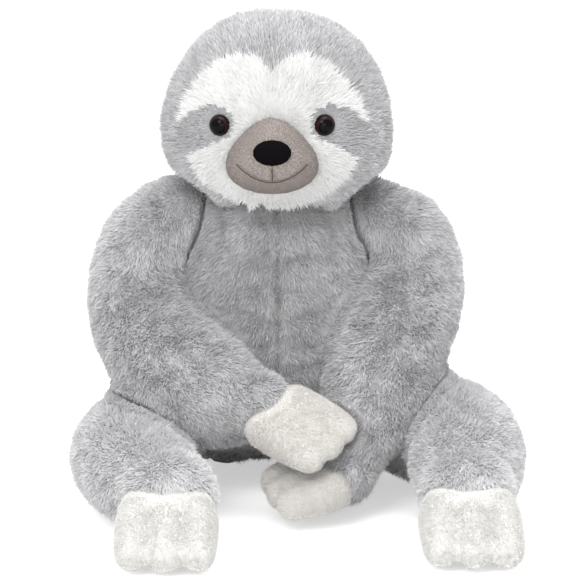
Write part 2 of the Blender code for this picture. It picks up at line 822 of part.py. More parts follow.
muzzle_form = loft(
    "muzzle form",
    muzzle_sections,
    FORM_SIDES,
    UP,
    narrowing_share=MUZZLE_NARROWING_SHARE,
    round_end=False,
)
muzzle_hollow = loft(
    "muzzle hollow",
    muzzle_sections[:-1],
    HOLLOW_SIDES,
    UP,
    levels=0,
    inset=VELVET_DEPTH,
    narrowing_share=MUZZLE_NARROWING_SHARE,
    round_end=False,
)
head_clearance = grown(head_form, GAP)

# Eyes: each stands square to the head's surface, its stem through the patch and the face
eye_seats = []
for word, side in SIDES:
    x = FACE_SHIFT + side * EYE_HALF_SPACING
    place, normal = surface_point(head_form, Vector((x, -OVERRUN, eye_height)), -FRONT)
    eye_seats.append((place - normal * EYE_SEAT_DEPTH, normal))


def turned_mesh(name, profile, place, axis, segments=SMALL_SEGMENTS, closed=False):
    """A turned solid from a radius and height profile; a closed profile makes a ring."""
    shape = bmesh.new()
    rings = []
    for radius, height in profile[:-1] if closed else profile:
        if radius == 0:
            rings.append([shape.verts.new((0, 0, height))])
            continue
        ring = []
        for step in range(segments):
            angle = math.tau * step / segments
            ring.append(shape.verts.new((radius * math.cos(angle), radius * math.sin(angle), height)))
        rings.append(ring)
    if closed:
        rings.append(rings[0])
    for lower, upper in zip(rings, rings[1:]):
        for step in range(segments):
            after = (step + 1) % segments
            corners = [
                lower[step % len(lower)],
                lower[after % len(lower)],
                upper[after % len(upper)],
                upper[step % len(upper)],
            ]
            shape.faces.new(list(dict.fromkeys(corners)))
    bmesh.ops.recalc_face_normals(shape, faces=shape.faces)
    bmesh.ops.transform(shape, matrix=Matrix.Translation(place) @ facing(axis), verts=shape.verts)
    mesh = bpy.data.meshes.new(name)
    shape.to_mesh(mesh)
    shape.free()
    return mesh


def eye_profile():
    """The eye from the end of its stem to the top of its dome."""
    quarter = math.pi / 2
    dome = [
        (EYE_RADIUS * math.cos(quarter * share), EYE_BULGE * math.sin(quarter * share))
        for share in EYE_DOME_SHARES
    ]
    stem = [(0, -EYE_STEM_LENGTH), (EYE_STEM_RADIUS, -EYE_STEM_LENGTH), (EYE_STEM_RADIUS, 0)]
    return [*stem, (EYE_RADIUS, 0), *dome, (0, EYE_BULGE)]


eye_pockets = []
for (word, _), (place, normal) in zip(SIDES, eye_seats):
    part_object(f"{word}_eye", turned_mesh(f"{word}_eye", eye_profile(), place, normal), EYE_PLASTIC)
    seat_floor = place - normal * GAP
    seat = rod(f"{word} eye seat", seat_floor, normal, EYE_RADIUS + GAP, OVERRUN)
    stem_room = rod(
        f"{word} stem room",
        place - normal * (EYE_STEM_LENGTH + GAP),
        normal,
        EYE_STEM_RADIUS + GAP,
        OVERRUN,
    )
    eye_pockets.append((seat, stem_room))


def washer_mesh(name, place, axis):
    """The star washer: a thin plate with a collar round its hole."""
    hole = EYE_STEM_RADIUS + WASHER_CLEARANCE
    collar = hole + WASHER_THICKNESS
    back = -WASHER_THICKNESS - WASHER_COLLAR_HEIGHT
    profile = [
        (hole, back),
        (collar, back),
        (collar, -WASHER_THICKNESS),
        (WASHER_RADIUS, -WASHER_THICKNESS),
        (WASHER_RADIUS, 0),
        (hole, 0),
    ]
    return turned_mesh(name, profile + profile[:1], place, axis, closed=True)


washer_rooms = []
for (word, _), (place, normal) in zip(SIDES, eye_seats):
    seat = place - normal * SKIN_AT_EYE
    name = f"{word}_eye_washer"
    part_object(name, washer_mesh(name, seat - normal * GAP, normal), WASHER_PLASTIC)
    room = rod(f"{word} washer room", seat, -normal, WASHER_RADIUS + WASHER_CLEARANCE, WASHER_ROOM_DEPTH)
    washer_rooms.append(room)

# The head's panels
for (word, _), flank in zip(SIDES, flanks):
    add_part(f"{word}_head_panel", head_skin, GREY_FUR, keep=(flank,), cut=(face_prism_wide,))
add_part("face_panel", head_skin, WHITE_FUR, keep=(face_prism,), cut=patch_prisms_wide)
for index, (word, _) in enumerate(SIDES):
    seat, stem_room = eye_pockets[index]
    add_part(
        f"{word}_eye_patch",
        head_skin,
        GREY_FUR,
        keep=(face_prism, patch_prisms[index]),
        cut=(seat, stem_room, washer_rooms[index]),
    )
stem_rooms = [stem_room for _, stem_room in eye_pockets]
head_rooms = (head_socket, neck_roll_room, *washer_rooms, *stem_rooms)
add_part("head_stuffing", head_fill, FIBRE, cut=head_rooms)
add_part("muzzle_panel", muzzle_form, TAUPE_VELVET, cut=(muzzle_hollow, head_clearance))
add_part("muzzle_stuffing", grown(muzzle_hollow, -GAP), FIBRE, cut=(head_clearance,))

# The nose and the stitched mouth
muzzle_clearance = grown(muzzle_form, GAP)
nose_height = muzzle_height + NOSE_ABOVE_MUZZLE
nose_place, nose_normal = surface_point(muzzle_form, Vector((FACE_SHIFT, -OVERRUN, nose_height)), -FRONT)
nose_ball = ball("nose ball", Vector((0, 0, 0)), 1.0)
nose_size = Matrix.Diagonal((NOSE_HALF_WIDTH, NOSE_HALF_HEIGHT, NOSE_HALF_DEPTH, 1.0))
nose_ball.data.transform(Matrix.Translation(nose_place) @ facing(nose_normal) @ nose_size)
add_part("nose", nose_ball, BLACK_FLOCK, cut=(muzzle_clearance,))


def stitch(name, outline, up_hint):
    """A raised line of thread that lies on the muzzle."""
    sections = []
    for x, z in outline:
        place, normal = surface_point(muzzle_form, Vector((x, -OVERRUN, z)), -FRONT)
        lifted = place + normal * (THREAD_RADIUS + THREAD_CLEARANCE)
        sections.append((lifted, THREAD_RADIUS, THREAD_RADIUS))
    thread = loft(name + " thread", sections, THREAD_SIDES, up_hint, levels=0, round_end=False)
    part_object(name, thread.data, DARK_THREAD)


mouth_corner_height = muzzle_height - MOUTH_CORNER_BELOW_MUZZLE
mouth_line = []
for step in range(MOUTH_POINTS):
    across = 2 * step / (MOUTH_POINTS - 1) - 1
    sag = MOUTH_SAG * (1 - across**2)
    mouth_line.append((FACE_SHIFT + across * MOUTH_HALF_WIDTH, mouth_corner_height - sag))
stitch("mouth_stitch", mouth_line, UP)
lip_top_height = muzzle_height - LIP_TOP_BELOW_MUZZLE
lip_heights = (lip_top_height, lip_top_height - LIP_LENGTH / 2, lip_top_height - LIP_LENGTH)
stitch("lip_stitch", [(FACE_SHIFT, height) for height in lip_heights], LEFT)

# What the limbs are cut by
joint_rooms = [
    ball(f"{word} {joint} core", centre(side), radius - GAP, axis)
    for word, side in SIDES
    for joint, centre, radius, axis in (
        ("shoulder", shoulder_centre, SHOULDER_RADIUS, LEFT),
        ("hip", hip_centre, HIP_RADIUS, UP),
    )
]
torso_bulk = tool_object("torso bulk", torso_clearance.data.copy())
subtract(torso_bulk, *joint_rooms)
torso_bulk = tool_object("torso bulk open", settled(torso_bulk))


def limb_tube(name, stops, up_hint, trims):
    """A limb's soft tube, trimmed where it presses on the rest."""
    tube = loft(name + " tube", stops, LIMB_SIDES, up_hint)
    subtract(tube, *trims)
    return tool_object(name + " trimmed tube", settled(tube))


def limb_room(name, stops, up_hint, neighbours, gap=0.0):
    """The room inside a limb's skin, clear of what the limb presses on; a gap makes its filling."""
    made = loft(name, stops, LIMB_SIDES, up_hint, levels=0, inset=LINING_DEPTH + gap)
    depth = PRESS_LINING_DEPTH + gap
    for sections, sides, hint, round_end in neighbours:
        pressed = loft(name + " press", sections, sides, hint, levels=0, inset=-depth, round_end=round_end)
        subtract(made, pressed)
    relief = block(
        name + " side relief",
        Vector((-ARM_SIDE_CLEARANCE - depth, -ARM_RELIEF_FORWARD - depth, -OVERRUN)),
        Vector((ARM_SIDE_CLEARANCE + depth, OVERRUN, 2 * OVERRUN)),
    )
    subtract(made, relief)
    return tool_object(name + " cut", settled(made))


def side_point(side, out, forward, height):
    """A point given outward from the middle, forward and up."""
    return Vector((side * out, -forward, height))


def round_stop(centre, radius):
    """A limb's round section."""
    return (centre, radius, radius)


def floor_stop(side, out, forward, half_width, half_height):
    """A leg's oval section, lying on the floor."""
    return (side_point(side, out, forward, half_height - SEAT_CUT), half_width, half_height)


right_shoulder = shoulder_centre(-1)
left_shoulder = shoulder_centre(1)
right_wrist = side_point(-1, RIGHT_WRIST_OUT, RIGHT_WRIST_FORWARD, RIGHT_WRIST_HEIGHT)
left_wrist = side_point(1, LEFT_WRIST_OUT, LEFT_WRIST_FORWARD, LEFT_WRIST_HEIGHT)
right_arm_stops = [
    round_stop(right_shoulder, SHOULDER_RADIUS * TUBE_END_SHARE),
    round_stop(side_point(-1, DELTOID_OUT, DELTOID_FORWARD, DELTOID_HEIGHT), UPPER_ARM_RADIUS),
    round_stop(
        side_point(-1, RIGHT_UPPER_ARM_OUT, RIGHT_UPPER_ARM_FORWARD, RIGHT_UPPER_ARM_HEIGHT),
        UPPER_ARM_RADIUS,
    ),
    round_stop(side_point(-1, RIGHT_ELBOW_OUT, RIGHT_ELBOW_FORWARD, RIGHT_ELBOW_HEIGHT), RIGHT_ELBOW_RADIUS),
    round_stop(
        side_point(-1, RIGHT_FOREARM_OUT, RIGHT_FOREARM_FORWARD, RIGHT_FOREARM_HEIGHT),
        RIGHT_FOREARM_RADIUS,
    ),
    round_stop(
        side_point(-1, RIGHT_LOWER_FOREARM_OUT, RIGHT_LOWER_FOREARM_FORWARD, RIGHT_LOWER_FOREARM_HEIGHT),
        RIGHT_LOWER_FOREARM_RADIUS,
    ),
    round_stop(right_wrist, RIGHT_WRIST_RADIUS * TUBE_END_SHARE),
]
left_arm_stops = [
    round_stop(left_shoulder, SHOULDER_RADIUS * TUBE_END_SHARE),
    round_stop(side_point(1, DELTOID_OUT, DELTOID_FORWARD, DELTOID_HEIGHT), UPPER_ARM_RADIUS),
    round_stop(
        side_point(1, LEFT_UPPER_ARM_OUT, LEFT_UPPER_ARM_FORWARD, LEFT_UPPER_ARM_HEIGHT), UPPER_ARM_RADIUS
    ),
    round_stop(side_point(1, LEFT_ELBOW_OUT, LEFT_ELBOW_FORWARD, LEFT_ELBOW_HEIGHT), LEFT_ELBOW_RADIUS),
    round_stop(
        side_point(1, LEFT_FOREARM_OUT, LEFT_FOREARM_FORWARD, LEFT_FOREARM_HEIGHT), LEFT_FOREARM_RADIUS
    ),
    round_stop(
        side_point(1, LEFT_LOWER_FOREARM_OUT, LEFT_LOWER_FOREARM_FORWARD, LEFT_LOWER_FOREARM_HEIGHT),
        LEFT_LOWER_FOREARM_RADIUS,
    ),
    round_stop(left_wrist, LEFT_WRIST_RADIUS * TUBE_END_SHARE),
]
right_ankle = side_point(-1, RIGHT_ANKLE_OUT, RIGHT_ANKLE_FORWARD, RIGHT_ANKLE_RADIUS + TOE_CLEARANCE)
left_ankle = side_point(1, LEFT_ANKLE_OUT, LEFT_ANKLE_FORWARD, LEFT_ANKLE_RADIUS + TOE_CLEARANCE)
right_leg_stops = [
    round_stop(hip_centre(-1), HIP_RADIUS * TUBE_END_SHARE),
    floor_stop(
        -1, RIGHT_THIGH_OUT, RIGHT_THIGH_FORWARD, RIGHT_THIGH_HALF_WIDTH, RIGHT_THIGH_HALF_HEIGHT
    ),
    floor_stop(-1, RIGHT_KNEE_OUT, RIGHT_KNEE_FORWARD, RIGHT_KNEE_HALF_WIDTH, RIGHT_KNEE_HALF_HEIGHT),
    floor_stop(-1, RIGHT_SHIN_OUT, RIGHT_SHIN_FORWARD, RIGHT_SHIN_HALF_WIDTH, RIGHT_SHIN_HALF_HEIGHT),
    round_stop(right_ankle, RIGHT_ANKLE_RADIUS * TUBE_END_SHARE),
]
left_leg_stops = [
    round_stop(hip_centre(1), HIP_RADIUS * TUBE_END_SHARE),
    floor_stop(1, LEFT_THIGH_OUT, LEFT_THIGH_FORWARD, LEFT_THIGH_HALF_WIDTH, LEFT_THIGH_HALF_HEIGHT),
    floor_stop(1, LEFT_KNEE_OUT, LEFT_KNEE_FORWARD, LEFT_KNEE_HALF_WIDTH, LEFT_KNEE_HALF_HEIGHT),
    floor_stop(1, LEFT_SHIN_OUT, LEFT_SHIN_FORWARD, LEFT_SHIN_HALF_WIDTH, LEFT_SHIN_HALF_HEIGHT),
    round_stop(left_ankle, LEFT_ANKLE_RADIUS * TUBE_END_SHARE),
]
right_paw_reach = side_point(
    -1, RIGHT_PAW_REACH_OUT, RIGHT_PAW_REACH_FORWARD, RIGHT_PAW_REACH_HEIGHT
)
left_paw_reach = side_point(1, LEFT_PAW_REACH_OUT, LEFT_PAW_REACH_FORWARD, LEFT_PAW_REACH_HEIGHT)

ARMS = (
    ("right", -1, right_arm_stops, RIGHT_WRIST_RADIUS, right_paw_reach, RIGHT_PAW_SPREAD_SHARES),
    ("left", 1, left_arm_stops, LEFT_WRIST_RADIUS, left_paw_reach, LEFT_PAW_SPREAD_SHARES),
)
LEGS = (
    ("right", -1, right_leg_stops, RIGHT_ANKLE_RADIUS),
    ("left", 1, left_leg_stops, LEFT_ANKLE_RADIUS),
)

# Legs
torso_neighbour = (torso_sections, FORM_SIDES, FRONT, False)
leg_neighbours = {word: (stops, LIMB_SIDES, UP, True) for word, _, stops, _ in LEGS}
leg_clearances = {}
leg_tubes = {}
for word, side, stops, ankle_radius in LEGS:
    hip_ball = ball(f"{word} hip ball", hip_centre(side), HIP_RADIUS)
    ankle = stops[-1][0]
    ankle_ball = ball(f"{word} ankle ball", ankle, ankle_radius, LEFT)
    leg_tube = limb_tube(f"{word} leg", stops, UP, (torso_bulk,))
    leg_tubes[word] = grown(leg_tube, FOOT_RELIEF)
    leg_form = joined(f"{word} leg form", leg_tube, hip_ball, ankle_ball)
    clearance = grown(leg_form, LEG_RELIEF)
    leg_clearances[word] = [clearance]
    for share in HIP_SWING_SHARES:
        swung = tool_object(f"{word} leg swung", clearance.data.copy())
        turn = Matrix.Rotation(side * share * HIP_SWING, 4, "Z")
        hip = Matrix.Translation(hip_centre(side))
        swung.data.transform(hip @ turn @ hip.inverted())
        leg_clearances[word].append(swung)
    leg_hollow = limb_room(f"{word} leg room", stops, UP, (torso_neighbour,))
    leg_filling = limb_room(f"{word} leg filling", stops, UP, (torso_neighbour,), GAP)
    leg_blank = tool_object(f"{word} leg blank", leg_form.data.copy())
    keep_inside(leg_blank, seat_level)
    subtract(leg_blank, leg_hollow)
    leg_skin = tool_object(f"{word} leg skin", settled(leg_blank))
    seam = Vector((0, 0, LEG_SEAM_HEIGHT))
    above = half_space(f"above the {word} leg seam", seam, UP)
    below = half_space(f"below the {word} leg seam", seam, -UP)
    add_part(f"{word}_leg_upper_panel", leg_skin, GREY_FUR, keep=(above,))
    add_part(f"{word}_leg_lower_panel", leg_skin, GREY_FUR, keep=(below,))
    add_part(f"{word}_leg_stuffing", leg_filling, FIBRE)


def lobed_form(name, centres, spread, spacing, up_hint, half_width, station_shares):
    """Three rounded lobes side by side, sewn as one paw or foot."""
    along = (centres[-1][0] - centres[0][0]).normalized()
    lobes = []
    for place, reach in ((-1, -LOBE_STAGGER), (0, LOBE_STAGGER), (1, 0)):
        sections = [
            (centre + spread * (spacing * place) + along * reach, half_width * width, half_height)
            for (centre, half_height), (_, width, _) in zip(centres, station_shares)
        ]
        lobes.append(loft(f"{name} lobe {place}", sections, FINGER_SIDES, up_hint))
    return joined(name, *lobes)


def add_lobed_parts(names, form, middle, up_hint, room, cut=()):
    """The upper and lower panel of a paw or foot, and its filling."""
    upper_name, lower_name, filling_name = names
    hollow = loft(filling_name + " hollow", middle, HOLLOW_SIDES, up_hint, levels=0, round_end=False)
    filling = grown(hollow, -GAP)
    subtract(hollow, *[grown(cutter, VELVET_DEPTH) for cutter in cut])
    subtract(filling, *[grown(cutter, VELVET_DEPTH + 2 * GAP) for cutter in cut])
    hollow = tool_object(filling_name + " room", settled(hollow))
    filling = tool_object(filling_name + " core", settled(filling))
    run = (middle[-1][0] - middle[0][0]).normalized()
    seam_up = (up_hint - run * up_hint.dot(run)).normalized()
    above = half_space(f"above the seam of {upper_name}", middle[0][0], seam_up)
    below = half_space(f"below the seam of {upper_name}", middle[0][0], -seam_up)
    blank = tool_object(upper_name + " blank", form.data.copy())
    subtract(blank, *cut, room, hollow)
    skin = tool_object(upper_name + " skin", settled(blank))
    add_part(upper_name, skin, WHITE_VELVET, keep=(above,))
    add_part(lower_name, skin, WHITE_VELVET, keep=(below,))
    add_part(filling_name, filling, FIBRE, cut=(room,))


# Feet
for word, side, stops, ankle_radius in LEGS:
    ankle = stops[-1][0]
    centres = []
    for along, _, thick in TOE_STATION_SHARES:
        half_height = TOE_HALF_THICKNESS * thick
        centre = Vector((ankle.x, ankle.y, half_height + TOE_CLEARANCE)) + FRONT * FOOT_LENGTH * along
        centres.append((centre, half_height))
    foot_form = lobed_form(
        f"{word} foot", centres, LEFT, TOE_SPACING, UP, TOE_HALF_WIDTH, TOE_STATION_SHARES
    )
    middle = [
        (centre, TOE_SPACING * width, half_height * LOBE_HOLLOW_SHARE)
        for (centre, half_height), (_, width, _) in zip(centres, TOE_STATION_SHARES)
    ]
    ankle_room = socket(f"{word} ankle room", ankle, ankle_radius, LEFT)
    names = (f"{word}_foot_top", f"{word}_foot_sole", f"{word}_foot_stuffing")
    add_lobed_parts(names, foot_form, middle, UP, ankle_room, cut=(leg_tubes[word],))

# Arms
arm_side_relief = block(
    "arm side relief",
    Vector((-ARM_SIDE_CLEARANCE, -ARM_RELIEF_FORWARD, -OVERRUN)),
    Vector((ARM_SIDE_CLEARANCE, OVERRUN, 2 * OVERRUN)),
)


def paw_frame(reach, spread_shares):
    """The paw's directions: along its fingers, across them, and up off its palm."""
    along = reach.normalized()
    spread = Vector(spread_shares)
    spread = (spread - along * spread.dot(along)).normalized()
    up = along.cross(spread)
    return along, spread, -up if up.z < 0 else up


arm_clearances = {}
arm_tubes = {}
for word, side, stops, wrist_radius, reach, spread_shares in ARMS:
    shoulder, wrist = stops[0][0], stops[-1][0]
    _, spread, _ = paw_frame(reach, spread_shares)
    shoulder_ball = ball(f"{word} shoulder ball", shoulder, SHOULDER_RADIUS, LEFT)
    wrist_ball = ball(f"{word} wrist ball", wrist, wrist_radius, spread)
    trims = (arm_side_relief, torso_bulk, *leg_clearances[word])
    arm_tube = limb_tube(f"{word} arm", stops, FRONT, trims)
    arm_beside_paw = grown(arm_tube, PAW_RELIEF)
    up_the_arm = (stops[-2][0] - wrist).normalized()
    short_of_wrist = half_space(f"short of the {word} wrist", wrist, up_the_arm, gap=0)
    keep_inside(arm_beside_paw, short_of_wrist)
    arm_tubes[word] = tool_object(f"{word} arm beside the paw", settled(arm_beside_paw))
    arm_form = joined(f"{word} arm form", arm_tube, shoulder_ball, wrist_ball)
    arm_clearances[word] = grown(arm_form, ARM_RELIEF)
    neighbours = (torso_neighbour, leg_neighbours[word])
    arm_hollow = limb_room(f"{word} arm room", stops, FRONT, neighbours)
    arm_filling = limb_room(f"{word} arm filling", stops, FRONT, neighbours, GAP)
    into_torso = LEFT * -side
    opening = turning_room(
        f"{word} shoulder opening", shoulder, into_torso, SHOULDER_OPENING_RADIUS, OVERRUN
    )
    hidden = (shoulder, SHOULDER_BALL_RADIUS, LEFT, HIDDEN_SEGMENTS, HIDDEN_RINGS)
    filling_room = socket(f"{word} shoulder filling room", *hidden)
    arm_blank = tool_object(f"{word} arm blank", arm_form.data.copy())
    subtract(arm_blank, arm_hollow, opening, filling_room)
    arm_skin = tool_object(f"{word} arm skin", settled(arm_blank))
    elbow = stops[3][0]
    across = (elbow - shoulder).cross(wrist - elbow).normalized()
    if across.y > 0:
        across = -across
    outer = half_space(f"outside the {word} arm seam", elbow, across)
    inner = half_space(f"inside the {word} arm seam", elbow, -across)
    add_part(f"{word}_arm_outer_panel", arm_skin, GREY_FUR, keep=(outer,))
    add_part(f"{word}_arm_inner_panel", arm_skin, GREY_FUR, keep=(inner,))
    filling_ball = ball(f"{word} shoulder filling ball", *hidden)
    plug = rod(
        f"{word} shoulder plug", shoulder, into_torso, SHOULDER_OPENING_RADIUS, 2 * SHOULDER_RADIUS
    )
    filling = joined(f"{word} shoulder filling", filling_ball, plug)
    add_part(f"{word}_shoulder_stuffing", filling, FIBRE, keep=(shoulder_ball,))
    add_part(f"{word}_arm_stuffing", arm_filling, FIBRE, cut=(filling_room, opening))

# Paws
for word, side, stops, wrist_radius, reach, spread_shares in ARMS:
    wrist = stops[-1][0]
    _, spread, paw_up = paw_frame(reach, spread_shares)
    centres = [
        (wrist + reach * along, FINGER_HALF_THICKNESS * thick) for along, _, thick in FINGER_STATION_SHARES
    ]
    paw_form = lobed_form(
        f"{word} paw", centres, spread, FINGER_SPACING, paw_up, FINGER_HALF_WIDTH, FINGER_STATION_SHARES
    )
    middle = [
        (centre, FINGER_SPACING * width, half_height * LOBE_HOLLOW_SHARE)
        for (centre, half_height), (_, width, _) in zip(centres, FINGER_STATION_SHARES)
    ]
    wrist_room = socket(f"{word} wrist room", wrist, wrist_radius, spread)
    names = (f"{word}_paw_top", f"{word}_paw_palm", f"{word}_paw_stuffing")
    pressed = [arm_tubes[word]]
    if word == "right":
        pressed.append(arm_clearances["left"])
    add_lobed_parts(names, paw_form, middle, paw_up, wrist_room, cut=pressed)

# Each moving piece turns about its own origin
PIVOTS = {
    ("neck", "head", "face", "muzzle", "nose", "mouth", "lip"): neck_centre,
    ("right_head", "right_eye", "left_head", "left_eye"): neck_centre,
    ("right_arm", "right_shoulder"): right_shoulder,
    ("left_arm", "left_shoulder"): left_shoulder,
    ("right_paw",): right_wrist,
    ("left_paw",): left_wrist,
    ("right_leg",): hip_centre(-1),
    ("left_leg",): hip_centre(1),
    ("right_foot",): right_ankle,
    ("left_foot",): left_ankle,
}
for names, place in PIVOTS.items():
    for piece in PARTS.objects:
        if any(piece.name.startswith(name) for name in names):
            piece.data.transform(Matrix.Translation(-place))
            piece.location = place
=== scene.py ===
# %% [markdown]
# # Plush sloth: the looks
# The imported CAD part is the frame. Every body gets a soft fabric form made from its own CAD solids,
# and a pile of real strands grows on it, so the toy reads as brushed plush from every side.
# The forms come from remeshing, smoothing and vertex moves. No cloth simulation is used, because the
# toy is firmly filled and its folds are shallow.

import json
import math
from itertools import count

import bmesh
import bpy
import numpy as np
from mathutils import Matrix, Vector, noise
from mathutils.bvhtree import BVHTree

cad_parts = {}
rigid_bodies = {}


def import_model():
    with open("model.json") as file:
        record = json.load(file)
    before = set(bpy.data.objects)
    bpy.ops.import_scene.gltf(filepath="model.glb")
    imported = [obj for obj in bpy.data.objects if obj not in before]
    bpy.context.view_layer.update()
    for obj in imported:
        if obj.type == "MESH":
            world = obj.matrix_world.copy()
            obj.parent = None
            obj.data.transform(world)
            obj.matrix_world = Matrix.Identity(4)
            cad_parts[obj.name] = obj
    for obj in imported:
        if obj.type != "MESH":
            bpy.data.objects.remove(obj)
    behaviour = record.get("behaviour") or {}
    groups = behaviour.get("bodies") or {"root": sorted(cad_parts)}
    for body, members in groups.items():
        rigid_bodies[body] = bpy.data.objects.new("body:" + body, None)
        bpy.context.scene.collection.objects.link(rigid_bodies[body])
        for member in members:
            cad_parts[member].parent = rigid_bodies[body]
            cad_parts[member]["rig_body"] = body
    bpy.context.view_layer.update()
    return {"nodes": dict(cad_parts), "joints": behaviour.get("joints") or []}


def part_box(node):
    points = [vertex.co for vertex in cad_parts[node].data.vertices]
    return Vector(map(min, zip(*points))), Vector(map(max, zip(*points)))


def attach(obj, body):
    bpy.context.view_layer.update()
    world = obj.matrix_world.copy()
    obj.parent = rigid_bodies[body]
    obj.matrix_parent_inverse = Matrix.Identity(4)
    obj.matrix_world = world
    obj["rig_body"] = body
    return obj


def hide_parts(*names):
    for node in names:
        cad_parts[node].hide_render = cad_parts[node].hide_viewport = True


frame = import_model()
NODES = frame["nodes"]
SIDES = ("right", "left")
UP = Vector((0, 0, 1))
DOWN = Vector((0, 0, -1))
FRONT = Vector((0, -1, 0))
print("frame", len(NODES), "nodes")

# %% [markdown]
# ## Materials
# The dyed polyester pile is painted a little darker at its roots than at its brushed tips, as painted
# shade deep in the pile, and no two strands are quite the same shade. A noise on the skin could give
# both, but it would lie flat under the hair. Here each strand carries a UV map whose U is its own shade
# and whose V runs from root to tip, and the pile materials read their colour from that, so the colour
# sits on the hair itself. The cloth behind the pile and the plastic pieces are plain colours.


# %% Kinds of material
# A Mix node's colour sockets come after those for numbers and vectors
MIX_COLOURS = (6, 7)
MIX_RESULT = 2


def principled(name, colour, roughness, sheen=0.0, specular=0.5):
    """A Principled material of one colour."""
    made = bpy.data.materials.new(name)
    made.use_nodes = True
    shader = made.node_tree.nodes["Principled BSDF"]
    shader.inputs["Base Color"].default_value = (*colour, 1.0)
    shader.inputs["Roughness"].default_value = roughness
    shader.inputs["Sheen Weight"].default_value = sheen
    shader.inputs["Specular IOR Level"].default_value = specular
    return made


def mixed(tree, factor, first, second):
    """A colour between two others."""
    node = tree.nodes.new("ShaderNodeMix")
    node.data_type = "RGBA"
    tree.links.new(factor, node.inputs["Factor"])
    for value, place in zip((first, second), MIX_COLOURS):
        if isinstance(value, tuple):
            node.inputs[place].default_value = (*value, 1.0)
        else:
            tree.links.new(value, node.inputs[place])
    return node.outputs[MIX_RESULT]


def pile_material(name, root, dark_tip, light_tip, roughness=0.85, sheen=0.25):
    """Pile whose strands run from a darker root colour, painted shade deep in the pile, to a tip colour of
    their own shade.
    """
    made = principled(name, light_tip, roughness, sheen, specular=0.15)
    tree = made.node_tree
    place = tree.nodes.new("ShaderNodeUVMap")
    place.uv_map = "OFBake"
    parts = tree.nodes.new("ShaderNodeSeparateXYZ")
    tree.links.new(place.outputs["UV"], parts.inputs["Vector"])
    tip = mixed(tree, parts.outputs["X"], dark_tip, light_tip)
    # The root colour paints the shade deep in the pile
    colour = mixed(tree, parts.outputs["Y"], root, tip)
    tree.links.new(colour, tree.nodes["Principled BSDF"].inputs["Base Color"])
    return made


# %% The pile and its backings
# The first colour of each pile, at its roots, is painted shade deep in the pile
GREY_PILE = pile_material("grey_pile", (0.36, 0.356, 0.368), (0.46, 0.457, 0.468), (0.97, 0.968, 0.98))
# The legs' pile is the grey fur painted lighter: painted light on the legs
LIT_LEG_PILE = pile_material("leg_pile", (0.56, 0.557, 0.572), (0.70, 0.70, 0.715), (1.0, 1.0, 1.0))
WHITE_PILE = pile_material("white_pile", (0.80, 0.80, 0.79), (0.83, 0.83, 0.825), (0.90, 0.90, 0.895))
PATCH_PILE = pile_material("patch_pile", (0.36, 0.356, 0.368), (0.44, 0.437, 0.448), (0.78, 0.782, 0.80))
VELVET_PILE = pile_material("velvet_pile", (0.75, 0.742, 0.724), (0.81, 0.803, 0.788), (0.88, 0.875, 0.862))
# The paws' pile is the feet's velvet painted darker: painted shade on the paws
SHADED_PAW_PILE = pile_material("paw_pile", (0.68, 0.662, 0.638), (0.73, 0.712, 0.686), (0.82, 0.802, 0.775))
TAUPE_PILE = pile_material(
    "taupe_pile", (0.215, 0.184, 0.172), (0.243, 0.211, 0.198), (0.310, 0.274, 0.259), sheen=0.05
)
EDGE_PILE = pile_material("edge_pile", (0.10, 0.075, 0.068), (0.13, 0.10, 0.09), (0.22, 0.18, 0.165))
# The grey cloth behind the pile is darkened as painted shade in the depths of the pile; on the legs it is
# also painted lighter, as their pile is
SHADED_GREY_BACKING = principled("shaded_grey_backing", (0.36, 0.357, 0.366), 0.95, 0.0, 0.05)
SHADED_LIT_LEG_BACKING = principled("shaded_lit_leg_backing", (0.44, 0.437, 0.448), 0.95, 0.0, 0.05)
WHITE_BACKING = principled("white_backing", (0.90, 0.90, 0.89), 0.95, 0.2, 0.1)
VELVET_BACKING = principled("velvet_backing", (0.88, 0.87, 0.85), 0.95, 0.2, 0.1)
# The paws' cloth is the feet's velvet cloth painted darker, as painted shade
SHADED_PAW_BACKING = principled("shaded_paw_backing", (0.76, 0.742, 0.716), 0.95, 0.2, 0.1)
TAUPE_BACKING = principled("taupe_backing", (0.40, 0.355, 0.33), 0.9, 0.2, 0.1)
EDGE_BACKING = principled("edge_backing", (0.14, 0.11, 0.10), 0.9, 0.2, 0.1)
print("pile and backings", len(bpy.data.materials), "materials")

# %% Flock, thread, plastic and fibre
NOSE_FLOCK = principled("nose_flock", (0.003, 0.0025, 0.003), 0.7, 0.0, 0.03)
THREAD = principled("thread", (0.075, 0.055, 0.048), 0.7, 0.1, 0.2)
PUPIL = principled("pupil", (0.001, 0.001, 0.001), 0.08, specular=0.10)
IRIS = principled("iris", (0.020, 0.008, 0.007), 0.10, specular=0.12)
EYE_RIM = principled("eye_rim", (0.006, 0.004, 0.004), 0.12, specular=0.15)
WASHER = principled("washer", (0.80, 0.80, 0.80), 0.45)
FIBRE = principled("fibre", (0.88, 0.88, 0.87), 1.0, 0.3, 0.1)
print("all", len(bpy.data.materials), "materials")

# %% [markdown]
# ## Soft forms
# A stuffed panel has no facets: the filling rounds it off and every seam pulls in. Subdividing the
# CAD panels would keep the gaps between them, and a cloth simulation would take minutes. So the CAD
# solids of a body are copied, merged, remeshed into one skin and smoothed. The skin is then drawn in
# by the depth of the pile, so that the tips of the strands come back to the size of the CAD solid.


# %% Working on one skin
SMOOTHING_FACTOR = 0.5


def linked(name, data):
    """A new object in the scene."""
    made = bpy.data.objects.new(name, data)
    bpy.context.scene.collection.objects.link(made)
    return made


def settle(obj):
    """Works the modifiers into the mesh."""
    graph = bpy.context.evaluated_depsgraph_get()
    mesh = bpy.data.meshes.new_from_object(obj.evaluated_get(graph))
    obj.modifiers.clear()
    obj.data = mesh


